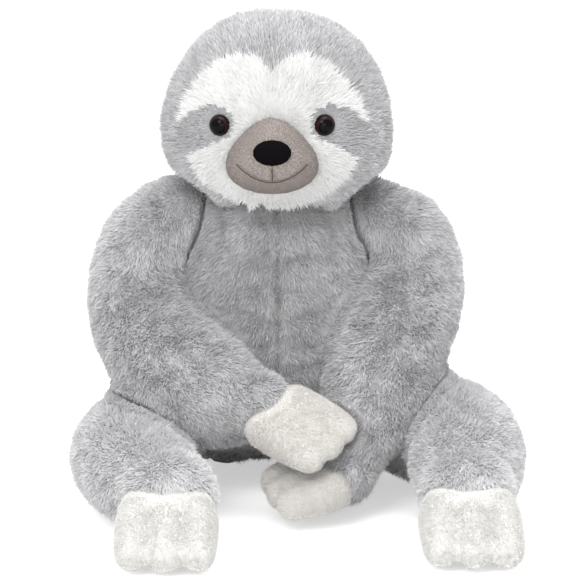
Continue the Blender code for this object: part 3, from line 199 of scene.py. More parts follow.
def largest_shell(obj):
    """Drops every loose shell but the largest."""
    shape = bmesh.new()
    shape.from_mesh(obj.data)
    left = set(shape.verts)
    shells = []
    while left:
        reached = {left.pop()}
        front = list(reached)
        while front:
            vert = front.pop()
            for edge in vert.link_edges:
                other = edge.other_vert(vert)
                if other in left:
                    left.discard(other)
                    reached.add(other)
                    front.append(other)
        shells.append(reached)
    shells.sort(key=len)
    for shell in shells[:-1]:
        bmesh.ops.delete(shape, geom=list(shell), context="VERTS")
    shape.to_mesh(obj.data)
    shape.free()


def smoothing(obj, steps):
    """A smoothing modifier."""
    made = obj.modifiers.new("smooth", "SMOOTH")
    made.factor = SMOOTHING_FACTOR
    made.iterations = steps


def skinned(obj, voxel):
    """Remeshes an object into one closed skin."""
    skin = obj.modifiers.new("skin", "REMESH")
    skin.mode = "VOXEL"
    skin.voxel_size = voxel
    skin.use_smooth_shade = True


def grown(obj, amount):
    """Moves a skin out along its normals, or in."""
    made = obj.modifiers.new("grow", "DISPLACE")
    made.mid_level = 0.0
    made.strength = amount


# %% Making a soft form
WELD = 0.0001
CUP_BACK = 0.0060
LAST_SMOOTHING = 2


def add_hull(shape, toward):
    """Adds the hull of the half nearest the limb, so that the hollow for the limb's end is closed."""
    reach = [vert.co.dot(toward) for vert in shape.verts]
    middle = (min(reach) + max(reach)) / 2
    near = [vert.co.copy() for vert, far in zip(shape.verts, reach) if far < middle]
    hull = bmesh.new()
    for place in near:
        hull.verts.new(place)
        hull.verts.new(place - toward * CUP_BACK)
    made = bmesh.ops.convex_hull(hull, input=hull.verts)
    inner = [item for item in made["geom_interior"] if isinstance(item, bmesh.types.BMVert)]
    bmesh.ops.delete(hull, geom=inner, context="VERTS")
    mesh = bpy.data.meshes.new("hull")
    hull.to_mesh(mesh)
    hull.free()
    shape.from_mesh(mesh)


def soft_form(name, nodes, voxel, sink, steps, backing, toward=None):
    """A smooth closed skin round copies of these CAD nodes, drawn in by the depth of its pile."""
    shape = bmesh.new()
    for node in nodes:
        shape.from_mesh(NODES[node].data)
    if toward:
        add_hull(shape, toward)
    bmesh.ops.remove_doubles(shape, verts=shape.verts, dist=WELD)
    mesh = bpy.data.meshes.new(name)
    shape.to_mesh(mesh)
    shape.free()
    made = linked(name, mesh)
    skinned(made, voxel)
    settle(made)
    largest_shell(made)
    smoothing(made, steps)
    grown(made, -sink)
    smoothing(made, LAST_SMOOTHING)
    settle(made)
    made.data.materials.clear()
    made.data.materials.append(backing)
    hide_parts(*nodes)
    return made


# %% Reading and moving a form's vertices
def arrays(obj):
    """Places and outward normals of the vertices."""
    size = len(obj.data.vertices) * 3
    places = np.empty(size)
    normals = np.empty(size)
    obj.data.vertices.foreach_get("co", places)
    obj.data.vertices.foreach_get("normal", normals)
    return places.reshape(-1, 3), normals.reshape(-1, 3)


def places_of(obj):
    """Places of the vertices."""
    return arrays(obj)[0]


def move_to(obj, places):
    """Sets the vertices' places."""
    obj.data.vertices.foreach_set("co", places.ravel())
    obj.data.update()


# %% [markdown]
# ## Bodies
# The toy is eleven stuffed cushions, each sewn from its own panels: torso, head, muzzle, arms, legs,
# paws and feet. A form for each panel would leave gaps along the seams, so each cushion becomes one
# form, and the panels are told apart later, by which strands grow where. The paws and feet are hollow
# in CAD where the limb's end turns. On the real toy they are closed and stuffed, so the half nearest
# the limb gets a hull.

# %% The parts of each body
TORSO_PANELS = (
    "right_chest_panel",
    "left_chest_panel",
    "right_back_panel",
    "left_back_panel",
    "seat_panel",
)
HEAD_PANELS = ("right_head_panel", "left_head_panel", "face_panel", "right_eye_patch", "left_eye_patch")
LIMB_PANELS = {
    "arm": ("outer_panel", "inner_panel"),
    "leg": ("upper_panel", "lower_panel"),
    "paw": ("top", "palm"),
    "foot": ("top", "sole"),
}
RIDES = {
    "torso": "torso",
    "head": "head",
    "muzzle": "head",
    "right_arm": "right_arm",
    "left_arm": "left_arm",
    "right_leg": "right_leg",
    "left_leg": "left_leg",
    "right_paw": "right_paw",
    "left_paw": "left_arm",
    "right_foot": "right_foot",
    "left_foot": "left_foot",
}


def middle_of(node):
    """Middle of a CAD node's box."""
    low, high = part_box(node)
    return (low + high) / 2


def joint_place(name):
    """A joint's centre."""
    found = next(joint for joint in frame["joints"] if joint["name"] == name)
    return Vector(found["pos_m"])


# The left paw is sewn fast, so no joint gives its wrist
WRISTS = {"right": joint_place("right_wrist"), "left": Vector((0.094, -0.268, 0.068))}
REACHES = {
    "right": Vector((0.108, -0.084, -0.042)).normalized(),
    "left": Vector((-0.100, -0.028, -0.024)).normalized(),
}
print("cushions", len(RIDES))

# %% The forms
FUR_VOXEL = 0.0055
PAW_VOXEL = 0.0036
MUZZLE_VOXEL = 0.0024
FUR_SINK = 0.0065
VELVET_SINK = 0.0018
MUZZLE_SINK = 0.0012
FUR_SMOOTHING = 11
HEAD_SMOOTHING = 6
PAW_SMOOTHING = 12
FOOT_SMOOTHING = 22
MUZZLE_SMOOTHING = 6
forms = {}


def limb_form(side, limb, voxel, sink, steps, backing, toward=None):
    """A limb's form, from its two panels and its filling."""
    nodes = tuple(f"{side}_{limb}_{part}" for part in (*LIMB_PANELS[limb], "stuffing"))
    forms[f"{side}_{limb}"] = soft_form(
        f"{side}_{limb}_cushion", nodes, voxel, sink, steps, backing, toward
    )


forms["torso"] = soft_form(
    "torso_cushion", TORSO_PANELS + ("torso_stuffing",), FUR_VOXEL, FUR_SINK, FUR_SMOOTHING, SHADED_GREY_BACKING
)
forms["head"] = soft_form(
    "head_cushion", HEAD_PANELS + ("head_stuffing",), FUR_VOXEL, FUR_SINK, HEAD_SMOOTHING, SHADED_GREY_BACKING
)
for side in SIDES:
    limb_form(side, "arm", FUR_VOXEL, FUR_SINK, FUR_SMOOTHING, SHADED_GREY_BACKING)
    limb_form(side, "leg", FUR_VOXEL, FUR_SINK, FUR_SMOOTHING, SHADED_LIT_LEG_BACKING)
    limb_form(side, "paw", PAW_VOXEL, VELVET_SINK, PAW_SMOOTHING, SHADED_PAW_BACKING, REACHES[side])
    limb_form(side, "foot", PAW_VOXEL, VELVET_SINK, FOOT_SMOOTHING, VELVET_BACKING, FRONT)
forms["muzzle"] = soft_form(
    "muzzle_cushion",
    ("muzzle_panel", "muzzle_stuffing"),
    MUZZLE_VOXEL,
    MUZZLE_SINK,
    MUZZLE_SMOOTHING,
    TAUPE_BACKING,
)
for key, form in forms.items():
    print(key, len(form.data.vertices), "vertices")

# %% [markdown]
# ## Seams and wrinkles
# The belly is sewn down its middle and its cloth folds in shallow rolls across, because the toy sits
# bent. Between the legs the cloth is drawn up off the floor. The grooves could be sculpted or
# simulated; they are drawn with a few smooth functions instead, which can be changed by a number each.
# Vertices near each line move in by a rounded groove, and the underside moves up.

# %% Seam and fold lines
# Each fold is its height, how far it sags at the sides and its depth
BELLY_FOLDS = (
    (0.345, 0.014, 0.0040),
    (0.305, 0.020, 0.0055),
    (0.262, 0.022, 0.0065),
    (0.222, 0.018, 0.0060),
    (0.186, 0.012, 0.0045),
)
SEAM_DEPTH = 0.0085
SEAM_HALF_WIDTH = 0.0060
FOLD_HALF_WIDTH = 0.0080
FOLD_REACH = 0.120
FOLD_END_SHARE = 1.3
FOLD_WAVE = 0.0060
FOLD_WAVE_LENGTH = 0.100
FOLD_TURN = 90.0


def fold_fall(places, height, sag):
    """How strongly each place feels a fold across the belly, from 0 to 1."""
    across = places[:, 0] / FOLD_REACH
    wave = FOLD_WAVE * np.sin(places[:, 0] / FOLD_WAVE_LENGTH * math.tau + height * FOLD_TURN)
    line = height + sag * across**2 + wave
    front = np.clip(-places[:, 1] / FOLD_REACH, 0, 1) * np.clip(FOLD_END_SHARE - np.abs(across), 0, 1)
    return front * np.exp(-(((places[:, 2] - line) / FOLD_HALF_WIDTH) ** 2))


def seam_fall(places):
    """How strongly each place feels the seam down the middle."""
    return np.exp(-((places[:, 0] / SEAM_HALF_WIDTH) ** 2))


torso = forms["torso"]
places, normals = arrays(torso)
places -= normals * (SEAM_DEPTH * seam_fall(places))[:, None]
for height, sag, depth in BELLY_FOLDS:
    places -= normals * (depth * fold_fall(places, height, sag))[:, None]
move_to(torso, places)
print("folds", len(BELLY_FOLDS))

# %% The underside drawn up between the legs
TUCK_RISE = 0.0560
TUCK_HEIGHT = 0.1000
TUCK_BACK = 0.0500
TUCK_REACH = 0.1000

places = places_of(torso)
low = np.clip(1 - places[:, 2] / TUCK_HEIGHT, 0, 1)
forward = np.clip((TUCK_BACK - places[:, 1]) / TUCK_REACH, 0, 1)
tuck = low * forward
places[:, 2] += TUCK_RISE * tuck
move_to(torso, places)
print("drawn up by at most", round(TUCK_RISE * float(tuck.max()), 4))

# %% Where the pile has to sink into the seams
places = places_of(torso)
# The seam and fold strength also paints shade into the seam and the folds, in shade_of
torso_creases = seam_fall(places)
for height, sag, depth in BELLY_FOLDS:
    torso_creases = np.maximum(torso_creases, fold_fall(places, height, sag))
print("strongest crease", round(float(torso_creases.max()), 2))

# %% [markdown]
# ## Nap
# Brushed pile lies down the limbs and the belly and spreads out from the middle of the face, in small
# locks. It could be combed by hand, but then every change to a form would undo it, so each vertex
# works out its own nap direction, share of the full strand length, cover, and tone with painted
# light and shade.
# - Where another body lies close, the filling presses the cloth out to it, the pile is shorter, and
#   the side that faces the other body gets painted shade, darker as in a crease.
# - Near the floor the pile is shorter too, and thinner underneath.
# - Where little can be seen the pile is thin but not missing, because a moved limb shows it. Only the
#   skin under an eye, and a limb's skin inside its own paw or foot, have none.


# %% Directions and smooth chance
LINE_BLEND = 4
CLOSEST = 0.0001
LEAST_LENGTH = 1e-9
SWIRL_STEPS = (1, 2.7, 5.1)
TONE_STEPS = (1, 3.1, 4.3)
NOISE_SEED = 7
# Left unseeded, noise_vector starts from the clock, and the locks of fur differ from run to run
noise.seed_set(NOISE_SEED)


def along_line(points, places):
    """Direction of the nearest part of a line, for each place, blended between its segments."""
    total = np.zeros_like(places)
    for start, end in zip(points, points[1:]):
        start, end = np.array(start), np.array(end)
        run = end - start
        share = np.clip(((places - start) @ run) / (run @ run), 0, 1)
        gap = np.linalg.norm(places - (start + share[:, None] * run), axis=1)
        total += (run / np.linalg.norm(run)) * (gap[:, None] + CLOSEST) ** -LINE_BLEND
    return total / np.linalg.norm(total, axis=1)[:, None]


def unit(vectors):
    """Vectors of length one."""
    return vectors / np.maximum(np.linalg.norm(vectors, axis=1), LEAST_LENGTH)[:, None]


def swirl(places, size, seed):
    """A smooth random vector for each place."""
    shift = Vector([seed * step for step in SWIRL_STEPS])
    return np.array([noise.noise_vector(Vector(place) / size + shift) for place in places])


def tone_of(places, size, seed):
    """A smooth random shade for each place."""
    shift = Vector([seed * step for step in TONE_STEPS])
    return np.array([noise.noise(Vector(place) / size + shift) for place in places])


# %% The neighbours of each body
LOOK_COUNT = 5
LOOK_RISE = 0.75
LOOK_RANGE = 0.060
LOOKS = [
    Vector((math.cos(angle), math.sin(angle), LOOK_RISE)).normalized()
    for angle in np.arange(LOOK_COUNT) * math.tau / LOOK_COUNT
]
LOOKS.append(UP)


def is_end_of(name, key):
    """Whether a CAD node is the paw or foot that a limb's pile may lie over."""
    side = key.split("_")[0]
    return key.endswith(("_arm", "_leg")) and name.startswith((f"{side}_paw", f"{side}_foot"))


def tree_of(meshes):
    """A search tree over some meshes."""
    shape = bmesh.new()
    for mesh in meshes:
        shape.from_mesh(mesh)
    made = BVHTree.FromBMesh(shape)
    shape.free()
    return made


def openness(tree, place, normal):
    """Share of looks outward from a place that meet no other body."""
    turn = normal.to_track_quat("Z", "Y")
    clear = 0
    for look in LOOKS:
        hit = tree.ray_cast(place, turn @ look, LOOK_RANGE)
        clear += hit[0] is None
    return clear / len(LOOKS)


other_trees = {}
for key, body in RIDES.items():
    others = [obj.data for name, obj in NODES.items() if obj["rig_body"] != body and not is_end_of(name, key)]
    other_trees[key] = tree_of(others)
end_trees = {}
for side in SIDES:
    end_trees[f"{side}_arm"] = tree_of([forms[f"{side}_paw"].data])
    end_trees[f"{side}_leg"] = tree_of([forms[f"{side}_foot"].data])
print("search trees", len(other_trees) + len(end_trees))

# %% Meeting the neighbours
FILL_OUT = 0.0050
FILL_RANGE = 0.0240
CONTACT_GAP = 0.0004
CONTACT_RANGE = 0.0025
CONTACT_SHARE = 0.3
# How far painted shade reaches from a near body, and how much facing it adds to it
CREASE_RANGE = 0.0240
FACING_SHIFT = 0.30
CLEAR_RANGE = 0.0110
SHORTEST_SHARE = 0.55
LEAST_OPEN = 0.2
HIDDEN_COVER = 0.30
BURIED_DEPTH = 0.0015


def push_of(room, sink):
    """How far the filling presses the cloth out where another body is this close."""
    if not sink:
        return 0.0
    fade = min(1.0, (FILL_RANGE - room) / (FILL_RANGE - sink - 2 * FILL_OUT))
    open_share = min(1.0, max(0.0, (room - sink - CONTACT_RANGE) / CONTACT_RANGE))
    reach = sink + min(FILL_OUT, (room - sink) / 2) - CONTACT_GAP
    return fade * (open_share * reach + (1 - open_share) * CONTACT_SHARE * sink)


def is_buried(key, place):
    """Whether a place on a limb's skin lies inside its own paw or foot."""
    if key not in end_trees:
        return False
    skin, outward = end_trees[key].find_nearest(place)[:2]
    return (place - skin).dot(outward) < -BURIED_DEPTH


def meet_neighbours(key, places, normals, sink):
    """Presses the places out to other bodies, and gives their pile shares, cover and painted contact shade.
    """
    tree = other_trees[key]
    pile = np.ones(len(places))
    cover = np.ones(len(places))
    contact_shade = np.zeros(len(places))
    for index, (at, normal) in enumerate(zip(places, normals)):
        place = Vector(at)
        near, _, _, room = tree.find_nearest(place, FILL_RANGE)
        if near is not None:
            facing = min(1.0, max(0.0, FACING_SHIFT + (near - place).normalized().dot(normal)))
            # Painted shade on the side of the skin that faces a near body
            contact_shade[index] = facing * max(0.0, 1 - max(0.0, room - sink) / CREASE_RANGE)
            push = push_of(room, sink)
            places[index] += normal * push
            pile[index] = min(1.0, max((room - push) / CLEAR_RANGE, SHORTEST_SHARE))
        if openness(tree, place, Vector(normal)) < LEAST_OPEN:
            cover[index] = HIDDEN_COVER
        if is_buried(key, Vector(places[index])):
            cover[index] = 0
    return pile, cover, contact_shade


# %% Brushing the pile, and its tone with painted light and shade
CLUMP_SIZE = 0.0110
CLUMP_SEED = 3.7
LOCK_SIZE = 0.0280
LOCK_SEED = 9.1
LEAST_LIFT = 0.15
FLOOR_DIP = 0.15
TONE_SIZE = 0.0400
TONE_SEED = 1.3
TONE_SHARE = 0.14
SPECK_SEED = 8.9
SPECK_SHARE = 0.22
# Painted light and shade for each body: the belly painted darker, as in the arms' shade, the arms and legs
# painted lighter
LIGHT_AND_SHADE_SHIFTS = {"torso": -0.11, "right_arm": 0.24, "left_arm": 0.09, "right_leg": 0.22, "left_leg": 0.12}
# Painted shade in contacts, and a third of it in the belly's seam and folds
CREASE_SHADE = 0.90
FOLD_SHADE_PART = 3


def brushed(places, normals, comb, lift, clump, length):
    """The nap: combed along the skin, lifted off it and gathered in locks, but not into the floor."""
    comb = comb - normals * np.sum(comb * normals, axis=1)[:, None]
    nap = unit(comb) + normals * lift + swirl(places, CLUMP_SIZE, CLUMP_SEED) * clump
    nap += swirl(places, LOCK_SIZE, LOCK_SEED) * clump
    flat = np.minimum(np.sum(nap * normals, axis=1), 0)
    nap = unit(nap - normals * (flat - LEAST_LIFT)[:, None])
    nap[:, 2] = np.where(places[:, 2] < length, np.maximum(nap[:, 2], -FLOOR_DIP), nap[:, 2])
    return nap


def shade_of(key, places, contact_shade, crease):
    """How much lighter or darker than its dye the pile is at each place: a random tone, painted light and
    shade for each body, and painted shade in contacts, the seam and folds.
    """
    tone_light_and_shade = tone_of(places, TONE_SIZE, TONE_SEED) * TONE_SHARE
    tone_light_and_shade = tone_light_and_shade + tone_of(places, CLUMP_SIZE, SPECK_SEED) * SPECK_SHARE
    # Painted light and shade for each body, and painted shade where the skin faces a near body or lies in the
    # seam or a fold
    tone_light_and_shade += LIGHT_AND_SHADE_SHIFTS.get(key, 0.0) - CREASE_SHADE * np.maximum(contact_shade, crease / FOLD_SHADE_PART)
    return tone_light_and_shade


# %% Dressing a form
UNDERSIDE_COVER = 0.35
UNDERSIDE_HEIGHT = 0.0300
UNDERSIDE_TILT = 0.60
FLOOR_RANGE = 0.0100
LEAST_FLOOR_PILE = 0.1
CREASE_PILE_SHARE = 0.65
DRESS = ("nap", "pile", "cover", "tone_light_and_shade", "region")
naps = {}


def dress(key, comb, lift, clump, length, sink=0.0, crease=0.0):
    """Stores on a form's vertices the nap, the share of strand length, the cover and the tone with its
    painted light and shade.
    """
    obj = forms[key]
    places, normals = arrays(obj)
    pile, cover, contact_shade = meet_neighbours(key, places, normals, sink)
    cover[(normals[:, 2] < -UNDERSIDE_TILT) & (places[:, 2] < UNDERSIDE_HEIGHT)] *= UNDERSIDE_COVER
    under = np.clip(-normals[:, 2], 0, 1)
    floor_share = np.clip(places[:, 2] / FLOOR_RANGE, LEAST_FLOOR_PILE, 1)
    pile *= 1 - under * (1 - floor_share)
    pile *= 1 - (1 - CREASE_PILE_SHARE) * crease
    naps[key] = brushed(places, normals, comb, lift, clump, length)
    tone_light_and_shade = shade_of(key, places, contact_shade, crease)
    move_to(obj, places)
    for name, kind, field, values in (
        ("nap", "FLOAT_VECTOR", "vector", naps[key]),
        ("pile", "FLOAT", "value", pile),
        ("cover", "FLOAT", "value", cover),
        ("tone_light_and_shade", "FLOAT", "value", tone_light_and_shade),
    ):
        stored = obj.data.attributes.new(name, kind, "POINT")
        stored.data.foreach_set(field, np.ascontiguousarray(values, np.float32).ravel())
    print(key, "covered", round(float(cover.mean()), 2))


# %% The nap of the torso and the head
FUR_LENGTH = 0.0120
FUR_LIFT = 0.75
TORSO_CLUMP = 0.60
HEAD_CLUMP = 0.50
TORSO_SPREAD = 0.30
FACE_CENTRE_SHIFT = (0, 0.035, 0.012)
BACK_FALL = 0.9
HEAD_FILL_SINK = FUR_SINK / 2

places = places_of(forms["torso"])
down = np.tile(np.array(DOWN), (len(places), 1))
down[:, 0] += np.sign(places[:, 0]) * TORSO_SPREAD
dress("torso", down, FUR_LIFT, TORSO_CLUMP, FUR_LENGTH, FUR_SINK, torso_creases)

face_centre = np.array(middle_of("muzzle_panel")) + np.array(FACE_CENTRE_SHIFT)
places, normals = arrays(forms["head"])
spread = unit(places - face_centre)
behind = np.clip(normals[:, 1], 0, 1)
spread[:, 2] -= BACK_FALL * behind
dress("head", spread, FUR_LIFT, HEAD_CLUMP, FUR_LENGTH, HEAD_FILL_SINK)

# %% Short pile round the eyes and painted shade on the sides of the head
EYE_CLEAR = 0.0165
EYE_RAMP = 0.0120
SHORTEST_AT_EYE = 0.35
SIDE_SHADE = 0.30
head_mesh = forms["head"].data


def rework(name, factor=1.0, shift=0.0):
    """Scales and shifts a number stored on the head's vertices."""
    stored = np.empty(len(head_mesh.vertices))
    head_mesh.attributes[name].data.foreach_get("value", stored)
    head_mesh.attributes[name].data.foreach_set("value", np.float32(stored * factor + shift))


places, normals = arrays(forms["head"])
near_eye = np.full(len(places), np.inf)
for name in ("right_eye", "left_eye"):
    middle = middle_of(name)
    gap = np.linalg.norm((places - np.array(middle))[:, [0, 2]], axis=1)
    near_eye = np.minimum(near_eye, np.where(places[:, 1] < middle.y + EYE_CLEAR, gap, np.inf))
rework("pile", factor=np.clip((near_eye - EYE_CLEAR) / EYE_RAMP, SHORTEST_AT_EYE, 1))
# Painted shade on the sides of the head, darker as the skin turns sideways
rework("tone_light_and_shade", shift=-SIDE_SHADE * normals[:, 0] ** 2)
rework("cover", factor=near_eye > EYE_CLEAR)
print("vertices cleared for the eyes", int((near_eye <= EYE_CLEAR).sum()))

# %% The nap of the muzzle and the limbs
VELVET_LENGTH = 0.0048
MUZZLE_LENGTH = 0.0020
MUZZLE_LIFT = 0.5
LIMB_CLUMP = 0.55
VELVET_CLUMP = 0.30
MUZZLE_CLUMP = 0.25
ANKLE_RANGE = 0.0600

around_nose = unit(places_of(forms["muzzle"]) - np.array(middle_of("nose")))
dress("muzzle", around_nose, MUZZLE_LIFT, MUZZLE_CLUMP, MUZZLE_LENGTH)

for side in SIDES:
    shoulder = middle_of(f"{side}_shoulder_stuffing")
    arm_low, arm_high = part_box(f"{side}_arm_outer_panel")
    outside = arm_low.x if side == "right" else arm_high.x
    elbow = (Vector((outside, arm_high.y, arm_low.z)) + shoulder) / 2
    comb = along_line((shoulder, elbow, WRISTS[side]), places_of(forms[f"{side}_arm"]))
    dress(f"{side}_arm", comb, FUR_LIFT, LIMB_CLUMP, FUR_LENGTH, FUR_SINK)
    hip = joint_place(f"{side}_hip")
    ankle = joint_place(f"{side}_ankle")
    leg_low, leg_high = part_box(f"{side}_leg_upper_panel")
    outside = leg_low.x if side == "right" else leg_high.x
    knee = Vector(((outside + hip.x) / 2, (hip.y + ankle.y) / 2, hip.z))
    places = places_of(forms[f"{side}_leg"])
    hang = np.exp(-np.sum((places - np.array(ankle)) ** 2, axis=1) / ANKLE_RANGE**2)
    comb = along_line((hip, knee, ankle), places) + hang[:, None] * np.array(DOWN)
    dress(f"{side}_leg", comb, FUR_LIFT, LIMB_CLUMP, FUR_LENGTH, FUR_SINK)
    for end, run in (("foot", FRONT), ("paw", REACHES[side])):
        comb = np.tile(np.array(run), (len(places_of(forms[f"{side}_{end}"])), 1))
        dress(f"{side}_{end}", comb, FUR_LIFT, VELVET_CLUMP, VELVET_LENGTH)

# %% [markdown]
# ## Strands
# Plush pile is thousands of fine tapering fibres. A hair system would look well here but is lost in the
# export, and flat cards show their edges from the side. So one strand is a slim three-sided cone.
# Geometry nodes scatter it on the skin, turn it to the nap, throw it a little at random and make it
# real geometry. Three triangles each keep the whole toy under two million.


# %% One strand
def strand_mesh(name):
    """A slim open cone of unit length and unit foot radius, with its height stored."""
    shape = bmesh.new()
    bmesh.ops.create_cone(
        shape, cap_ends=False, segments=3, radius1=1, radius2=0, depth=1, matrix=Matrix.Translation(UP / 2)
    )
    bmesh.ops.remove_doubles(shape, verts=shape.verts, dist=WELD)
    bmesh.ops.dissolve_degenerate(shape, edges=shape.edges, dist=WELD)
    bmesh.ops.triangulate(shape, faces=shape.faces)
    mesh = bpy.data.meshes.new(name)
    shape.to_mesh(mesh)
    shape.free()
    height = mesh.attributes.new("height", "FLOAT", "POINT")
    height.data.foreach_set("value", [vert.co.z for vert in mesh.vertices])
    made = linked(name, mesh)
    made.hide_render = True
    made.hide_viewport = True
    return made


STRAIGHT = strand_mesh("straight_strand")
print("triangles in a strand", len(STRAIGHT.data.polygons))


# %% Small helpers for the node trees
# A random number's sockets come after those of a random vector
CHANCE_LOW = 2
CHANCE_HIGH = 3
CHANCE_RESULT = 1


def node(tree, kind, **settings):
    """A geometry node with its settings."""
    made = tree.nodes.new(kind)
    for name, value in settings.items():
        setattr(made, name, value)
    return made


def named(tree, name, kind):
    """A stored attribute as a field."""
    made = node(tree, "GeometryNodeInputNamedAttribute", data_type=kind)
    made.inputs["Name"].default_value = name
    return made.outputs["Attribute"]


def maths(tree, operation, *values):
    """One sum on fields or numbers."""
    made = node(tree, "ShaderNodeMath", operation=operation)
    for value, socket in zip(values, made.inputs):
        if isinstance(value, (int, float)):
            socket.default_value = value
        else:
            tree.links.new(value, socket)
    return made.outputs[0]


def chance(tree, low, high, seed):
    """A random number for each strand."""
    made = node(tree, "FunctionNodeRandomValue", data_type="FLOAT")
    made.inputs[CHANCE_LOW].default_value = low
    made.inputs[CHANCE_HIGH].default_value = high
    made.inputs["Seed"].default_value = seed
    return made.outputs[CHANCE_RESULT]


# %% Where strands stand, how they turn and how large they are
LENGTH_SPREAD = (0.7, 1.15)
WIDTH_SPREAD = (0.75, 1.25)
# A comparison's sockets for whole numbers come after those for other numbers
WHOLE_FIRST = 2
WHOLE_SECOND = 3


def scattered(tree, skin, region, density, seed):
    """Points on one region of a skin, as dense as its cover says."""
    same = node(tree, "FunctionNodeCompare", data_type="INT", operation="EQUAL")
    tree.links.new(named(tree, "region", "INT"), same.inputs[WHOLE_FIRST])
    same.inputs[WHOLE_SECOND].default_value = region
    made = node(tree, "GeometryNodeDistributePointsOnFaces", distribute_method="RANDOM")
    tree.links.new(skin, made.inputs["Mesh"])
    tree.links.new(same.outputs[0], made.inputs["Selection"])
    tree.links.new(maths(tree, "MULTIPLY", named(tree, "cover", "FLOAT"), density), made.inputs["Density"])
    made.inputs["Seed"].default_value = seed
    return made.outputs["Points"]


def turned(tree, mess, throw_seed, roll_seed):
    """Each strand's turn: along the nap, thrown a little and rolled at random."""
    throw = node(tree, "FunctionNodeRandomValue", data_type="FLOAT_VECTOR")
    throw.inputs[0].default_value = (-mess, -mess, -mess)
    throw.inputs[1].default_value = (mess, mess, mess)
    throw.inputs["Seed"].default_value = throw_seed
    lean = node(tree, "ShaderNodeVectorMath", operation="ADD")
    tree.links.new(named(tree, "nap", "FLOAT_VECTOR"), lean.inputs[0])
    tree.links.new(throw.outputs[0], lean.inputs[1])
    point = node(tree, "FunctionNodeAlignRotationToVector", axis="Z")
    tree.links.new(lean.outputs[0], point.inputs["Vector"])
    roll = node(tree, "FunctionNodeAxisAngleToRotation")
    tree.links.new(chance(tree, 0.0, math.tau, roll_seed), roll.inputs["Angle"])
    turn = node(tree, "FunctionNodeRotateRotation", rotation_space="LOCAL")
    tree.links.new(point.outputs[0], turn.inputs["Rotation"])
    tree.links.new(roll.outputs[0], turn.inputs["Rotate By"])
    return turn.outputs[0]


def sized(tree, length, width, length_seed, width_seed):
    """Each strand's width and length."""
    own_length = chance(tree, LENGTH_SPREAD[0] * length, LENGTH_SPREAD[1] * length, length_seed)
    own_width = chance(tree, WIDTH_SPREAD[0] * width, WIDTH_SPREAD[1] * width, width_seed)
    made = node(tree, "ShaderNodeCombineXYZ")
    tree.links.new(own_width, made.inputs[0])
    tree.links.new(own_width, made.inputs[1])
    tree.links.new(maths(tree, "MULTIPLY", named(tree, "pile", "FLOAT"), own_length), made.inputs[2])
    return made.outputs[0]


# %% The shade of each strand and its map
SHADE_MIDDLE = 0.5
SHADE_SPREAD = 0.48
SHADE_LIMITS = (0.02, 0.98)
ROOT_V = 0.03
ROOT_TO_TIP_V = 0.94


def shaded(tree, strands, seed):
    """Stores each strand's own shade, which its place's tone and painted light and shade shift."""
    own_shade = chance(tree, SHADE_MIDDLE - SHADE_SPREAD, SHADE_MIDDLE + SHADE_SPREAD, seed)
    clamp = node(tree, "ShaderNodeClamp")
    clamp.inputs["Min"].default_value, clamp.inputs["Max"].default_value = SHADE_LIMITS
    tree.links.new(maths(tree, "ADD", own_shade, named(tree, "tone_light_and_shade", "FLOAT")), clamp.inputs["Value"])
    made = node(tree, "GeometryNodeStoreNamedAttribute", data_type="FLOAT", domain="INSTANCE")
    made.inputs["Name"].default_value = "shade"
    tree.links.new(strands, made.inputs["Geometry"])
    tree.links.new(clamp.outputs[0], made.inputs["Value"])
    return made.outputs[0]


def mapped(tree, strands):
    """Gives the strands the OFBake map: their shade across, root to tip up."""
    both = node(tree, "ShaderNodeCombineXYZ")
    tree.links.new(named(tree, "shade", "FLOAT"), both.inputs[0])
    height = named(tree, "height", "FLOAT")
    tree.links.new(maths(tree, "MULTIPLY_ADD", height, ROOT_TO_TIP_V, ROOT_V), both.inputs[1])
    made = node(tree, "GeometryNodeStoreNamedAttribute", data_type="FLOAT2", domain="CORNER")
    made.inputs["Name"].default_value = "OFBake"
    tree.links.new(strands, made.inputs["Geometry"])
    tree.links.new(both.outputs[0], made.inputs["Value"])
    return made.outputs[0]


# %% Growing the strands of one region
def drop_attributes(mesh, names):
    """Removes from a mesh the numbers that only the growing needed."""
    for name in names:
        if name in mesh.attributes:
            mesh.attributes.remove(mesh.attributes[name])


def grow_pile(name, form, region, density, length, width, mess, material, seed):
    """Real strands on one region of a form, as a piece of its own."""
    tree = bpy.data.node_groups.new(name, "GeometryNodeTree")
    tree.interface.new_socket("Geometry", in_out="INPUT", socket_type="NodeSocketGeometry")
    tree.interface.new_socket("Geometry", in_out="OUTPUT", socket_type="NodeSocketGeometry")
    skin = node(tree, "NodeGroupInput").outputs[0]
    seeds = count(seed)
    strand = node(tree, "GeometryNodeObjectInfo")
    strand.inputs["Object"].default_value = STRAIGHT
    place = node(tree, "GeometryNodeInstanceOnPoints")
    tree.links.new(scattered(tree, skin, region, density, next(seeds)), place.inputs["Points"])
    tree.links.new(strand.outputs["Geometry"], place.inputs["Instance"])
    tree.links.new(turned(tree, mess, next(seeds), next(seeds)), place.inputs["Rotation"])
    tree.links.new(sized(tree, length, width, next(seeds), next(seeds)), place.inputs["Scale"])
    real = node(tree, "GeometryNodeRealizeInstances")
    tree.links.new(shaded(tree, place.outputs[0], next(seeds)), real.inputs["Geometry"])
    paint = node(tree, "GeometryNodeSetMaterial")
    paint.inputs["Material"].default_value = material
    tree.links.new(mapped(tree, real.outputs[0]), paint.inputs["Geometry"])
    tree.links.new(paint.outputs[0], node(tree, "NodeGroupOutput").inputs[0])
    made = linked(name, form.data)
    grow = made.modifiers.new("grow", "NODES")
    grow.node_group = tree
    settle(made)
    drop_attributes(made.data, ("shade", "height", *DRESS))
    print(name, len(made.data.polygons), "triangles", [layer.name for layer in made.data.uv_layers])
    return made


